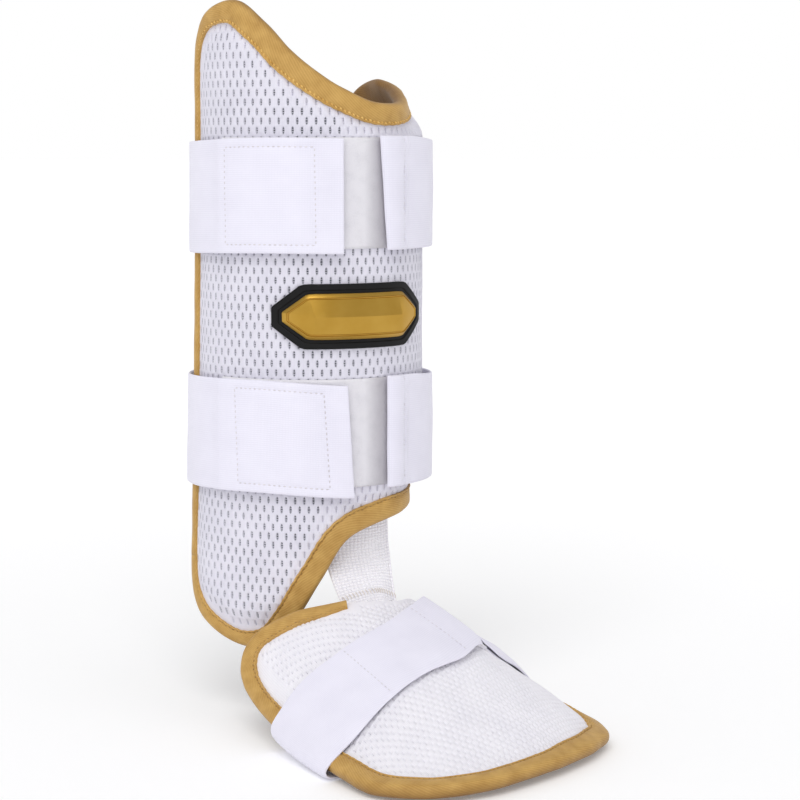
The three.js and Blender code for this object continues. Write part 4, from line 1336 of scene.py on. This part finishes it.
def foot_strap():
    share = np.linspace(0, 1, FOOT_STRAP_LINES)[None]
    across, along = foot_band_places(FOOT_TAB, FOOT_STRAP_KNOTS.tab, FOOT_STRAP_LINES)
    droop = FOOT_DROOP.depth * share ** FOOT_DROOP.power
    tab = foot_above(across, along, strap_row(across, "rise") - droop)
    across, along = foot_band_places(FOOT_HEM, FOOT_STRAP_KNOTS.hem, FOOT_STRAP_LINES)
    folds = FOOT_RUMPLE.depth * (1 + ripple(ACROSS_MM * across, along, FOOT_RUMPLE.pitch))
    ridge = FOOT_RIDGE.height * groove(share - FOOT_RIDGE.at, FOOT_RIDGE.width)
    ridge = ridge * smoothstep(across, *FOOT_RIDGE.start) * (1 - smoothstep(across, *FOOT_RIDGE.end))
    hem = foot_above(across, along, strap_row(across, "rise") + folds * share + ridge)
    knots = np.concatenate([tab, sole_turn("medial", -1), sole_turn("lateral", 1)[::-1], hem])
    lines = [through(knots[:, j], FOOT_STRAP_KNOTS.parts) for j in range(FOOT_STRAP_LINES)]
    inner = np.stack(lines, 1)
    normals = surface_normals(inner)
    if normals[0, FOOT_STRAP_LINES // 2, 2] < 0:
        normals = -normals
    far = lengths(inner[:, FOOT_STRAP_LINES // 2])[:, None]
    rounded = rounding(np.minimum(share, 1 - share), FOOT_STRAP_EDGE.share, FOOT_STRAP_EDGE.least)
    rounded = rounded * rounding(np.minimum(far, far[-1] - far), FOOT_STRAP_TIP.radius, FOOT_STRAP_TIP.least)
    half = normals * (FOOT_STRAP_THICKNESS / 2 * rounded)[..., None]
    middle = inner + normals * FOOT_STRAP_THICKNESS / 2
    width = np.linalg.norm(inner[:, -1] - inner[:, 0], axis=1)[:, None]
    made = slab(
        "foot_elastic", in_place(middle + half), in_place(middle - half), spread(far, share * width), ELASTIC,
    )
    dress(made, "elastic", "foot_strap")
    foot_strap_seams()


def foot_strap_seams():
    lines = []
    share = np.linspace(*FOOT_SEAM_SPAN, SEAM_POINTS)
    for ends in FOOT_SEAMS:
        place = lerp(*ends, share)
        along = lerp(strap_row(place, "rear"), strap_row(place, "front"), share)
        rise = strap_row(place, "rise") + FOOT_STRAP_THICKNESS
        spot = foot_out(place, along, rise)
        lines.append((spot, unit(foot_out(place, along, rise + 1) - spot)))
    sew("foot_elastic_stitches", lines, STRAP_STITCH, PALE_THREAD, "elastic")


def foot_band(band, kind):
    """A flat band over the foot pad, with a nap of uneven height on its outer face."""
    across, along = foot_band_places(band, *FOOT_BAND_GRID)
    nap = kind.nap * np.random.default_rng(NAP_SEED.foot).uniform(-1, 1, across.shape)
    outer = foot_out(across, along, band.rise + kind.thickness + nap)
    inner = foot_out(across, along, np.full(across.shape, band.rise))
    weave = spread((across - 1) * ACROSS_MM, along)
    dress(slab("foot" + kind.piece, outer, inner, weave, kind.look), kind.slot, "foot" + kind.node)


# The webbing

YARN = Sizes(warp=1.04, weft=0.72, half_thickness=0.36, sway=0.4, sides=6)
SELVAGE = Sizes(half_width=0.85, half_thickness=0.8)
# Half of the webbing's thickness, and the parts of its lines, of a weft pitch and of a warp pitch
WEBBING_HALF = 0.9
WEBBING_PARTS = Sizes(line=40, weft=6, warp=4)
# How much wider the webbing is drawn at the end of its drop and where it is sewn under the pad
WEBBING_FLARE = Sizes(drop=1.04, seat=1.24)
# Upright stitches across the webbing's lower end: their place from its end, their lean, and the warps
# between two of them
WEBBING_STITCH = Sizes(pitch=3.9, length=3.6, radius=0.36, slant=0)
WEBBING_SEAM = Sizes(from_end=39.5, height=4, lean=0.35, rise=0.75, warps=0.9)


def webbing_line(place):
    """A line down the webbing's middle layer, at a place across it."""
    points = []
    for radius, height in WEBBING_DROP:
        wide = place * (WEBBING_FLARE.drop if height == WEBBING_DROP[-1][1] else 1)
        points.append(polar(WEBBING.angle + wide / math.radians(1) / radius, radius - WEBBING_HALF, height))
    for along, depth in WEBBING_TUCK:
        across = WEBBING_SEAT + place * WEBBING_FLARE.seat / foot_section(along, "medial")
        points.append(foot_out(across, along, -depth - WEBBING_HALF))
    return through(np.array(points), WEBBING_PARTS.line)


def yarn(centres, normals, half_width, half_thickness):
    """Rings round a yarn with an oval section."""
    side = unit(np.cross(np.gradient(centres, axis=0), normals))
    turn = round_turn(YARN.sides)
    wide = side[:, None] * (half_width * np.cos(turn))[None, :, None]
    return centres[:, None] + wide + normals[:, None] * (half_thickness * np.sin(turn))[None, :, None]


def ankle_webbing():
    half = WEBBING.width / 2
    warps = [webbing_line(place) for place in np.linspace(-half, half, WEBBING.warps)]
    far = lengths(warps[WEBBING.warps // 2])
    at = np.arange(0, far[-1], WEBBING.weft_pitch / WEBBING_PARTS.weft)
    grid = np.stack([points_at(at, far, line) for line in warps], 1)
    normals = surface_normals(grid)
    yarns = warp_yarns(grid, normals, at) + weft_yarns(grid, normals, at)
    points, faces = tubes([rings for rings, _ in yarns])
    weave = np.concatenate([np.repeat(place, YARN.sides, 0) for _, place in yarns])
    dress(finish_mesh("ankle_weave", points, faces, weave, [WEBBING_YARN]), "webbing", "ankle_webbing")
    webbing_seam(grid, normals, at)


def yarn_place(warp, along):
    """Places in the webbing that set the middle of each yarn on the bright part of the weave."""
    return spread((warp + 0.5) * WARP_PITCH, along + WEBBING.weft_pitch / 2)


def warp_yarns(grid, normals, at):
    """Yarns down the webbing, over and under the others; those at its two edges lie straight."""
    wave = np.cos(np.pi * at / WEBBING.weft_pitch)
    yarns = []
    for j in range(WEBBING.warps):
        edge = j in (0, WEBBING.warps - 1)
        over = (0 if edge else 1 if j % 2 else -1) * YARN.sway * wave
        wide = SELVAGE.half_width if edge else YARN.warp
        thick = SELVAGE.half_thickness if edge else YARN.half_thickness
        centres = grid[:, j] + normals[:, j] * over[:, None]
        yarns.append((yarn(centres, normals[:, j], wide, thick), yarn_place(j, at)))
    return yarns


def weft_yarns(grid, normals, at):
    """Yarns across the webbing, each over where the one before it goes under."""
    known = np.arange(WEBBING.warps)
    steps = np.linspace(0, known[-1], WEBBING_PARTS.warp * known[-1] + 1)
    yarns = []
    for order, k in enumerate(range(0, len(at), WEBBING_PARTS.weft)):
        up = unit(points_at(steps, known, normals[k]))
        over = (-1 if order % 2 else 1) * YARN.sway * np.cos(np.pi * steps)
        centres = points_at(steps, known, grid[k]) + up * over[:, None]
        yarns.append((yarn(centres, up, YARN.weft, YARN.half_thickness), yarn_place(steps, at[k])))
    return yarns


def webbing_seam(grid, normals, at):
    """A row of upright stitches across the webbing's lower end, on both of its faces."""
    first = np.searchsorted(at, at[-1] - WEBBING_SEAM.from_end)
    last = np.searchsorted(at, at[first] + WEBBING_SEAM.height)
    known = np.arange(WEBBING.warps)
    lines = []
    for side in (-1, 1):
        for warp in np.arange(0.5, WEBBING.warps - 1, WEBBING_SEAM.warps):
            spots, ups = [], []
            for share, k in zip(np.linspace(0, 1, last - first), range(first, last)):
                place = warp + WEBBING_SEAM.lean * share
                ups.append(side * unit(points_at(place, known, normals[k])))
                spots.append(points_at(place, known, grid[k]) + ups[-1] * WEBBING_SEAM.rise)
            lines.append((np.array(spots), np.array(ups)))
    sew("ankle_weave_stitches", lines, WEBBING_STITCH, BEIGE_THREAD, "webbing")


# The studio

CAMERA = Sizes(azimuth=-25, distance=1100, height=89, lens=90, sensor=36, pitch=7.125, yaw=-2.53)
# The floor in metres: its radius, how far it lies below the guard, and its glow near the guard and away
FLOOR = Sizes(radius=60, below=0.0003, sides=96, glow=(0.14, 0.24), places=(0.25, 1.2))
SKY = Sizes(levels=(1.0, 0.6), heights=(0.12, 0.3))
KEY = Sizes(azimuth=-38, elevation=50, softness=45, strength=1.22)


def camera():
    azimuth, pitch, yaw = (math.radians(turn) for turn in (CAMERA.azimuth, CAMERA.pitch, CAMERA.yaw))
    back = np.array([math.sin(azimuth), -math.cos(azimuth), 0])
    right = np.array([math.cos(azimuth), math.sin(azimuth), 0])
    up = np.array([0, 0, 1.0])
    level = -back * math.cos(yaw) - right * math.sin(yaw)
    sideways = right * math.cos(yaw) - back * math.sin(yaw)
    ahead = level * math.cos(pitch) - up * math.sin(pitch)
    stand = (back * CAMERA.distance + up * CAMERA.height) * MM
    place = Matrix.Identity(4)
    for column, axis in enumerate((sideways, np.cross(sideways, ahead), -ahead, stand)):
        for row in range(3):
            place[row][column] = axis[row]
    lens = bpy.data.cameras.new("camera")
    lens.lens = CAMERA.lens
    lens.sensor_width = CAMERA.sensor
    made = link(bpy.data.objects.new("camera", lens))
    made.matrix_world = place
    bpy.context.scene.camera = made


def floor():
    """A wide pale floor with a faint glow, as on a light table, that is stronger away from the guard."""
    turn = np.linspace(0, 2 * np.pi, FLOOR.sides, endpoint=False)
    low = FOOT_PLACE.floor * MM - FLOOR.below
    rim = spread(FLOOR.radius * np.cos(turn), FLOOR.radius * np.sin(turn), low)
    mesh = bpy.data.meshes.new("floor")
    mesh.from_pydata(rim.tolist(), [], [list(range(FLOOR.sides))])
    made, tree, shader = material("pale_floor", Roughness=0.9, Emission_Color=(1, 1, 1, 1))
    place = object_place(tree)
    away = add(tree, "VectorMath", {0: place}, operation="LENGTH").outputs["Value"]
    tree.links.new(fade(tree, away, FLOOR.places, FLOOR.glow), shader.inputs["Emission Strength"])
    paint(tree, shader, ramp(tree, grain(tree, place, scale=2.0), (0.2, "f4f4f5"), (0.8, "f7f7f8")))
    mesh.materials.append(made)
    stage = link(bpy.data.objects.new("floor", mesh))


def sky():
    """A studio wall that is white at the horizon and dimmer overhead."""
    world = bpy.data.worlds.new("studio")
    world.use_nodes = True
    tree = world.node_tree
    height = part_of(tree, add(tree, "TexCoord", {}).outputs["Generated"], "Z")
    background = tree.nodes["Background"]
    tree.links.new(fade(tree, height, SKY.heights, SKY.levels), background.inputs["Strength"])
    background.inputs["Color"].default_value = (1, 1, 1, 1)
    bpy.context.scene.world = world


def key_light():
    light = bpy.data.lights.new("key", "SUN")
    light.energy = KEY.strength
    light.angle = math.radians(KEY.softness)
    made = link(bpy.data.objects.new("key", light))
    made.rotation_euler = (math.radians(90 - KEY.elevation), 0, math.radians(KEY.azimuth))


camera()
floor()
sky()
key_light()
bpy.context.scene.view_settings.view_transform = "Standard"
shin_shell()
shell_lining()
shell_binding()
for strap in LEG_STRAPS:
    leg_strap(strap)
    leg_band(strap, LOOP_BAND, LOOP)
    leg_band(strap, HOOK_PATCH, HOOK)
badge()
foot_pad()
foot_binding()
foot_strap()
foot_band(FOOT_BAND, LOOP)
foot_band(FOOT_HOOK, HOOK)
ankle_webbing()
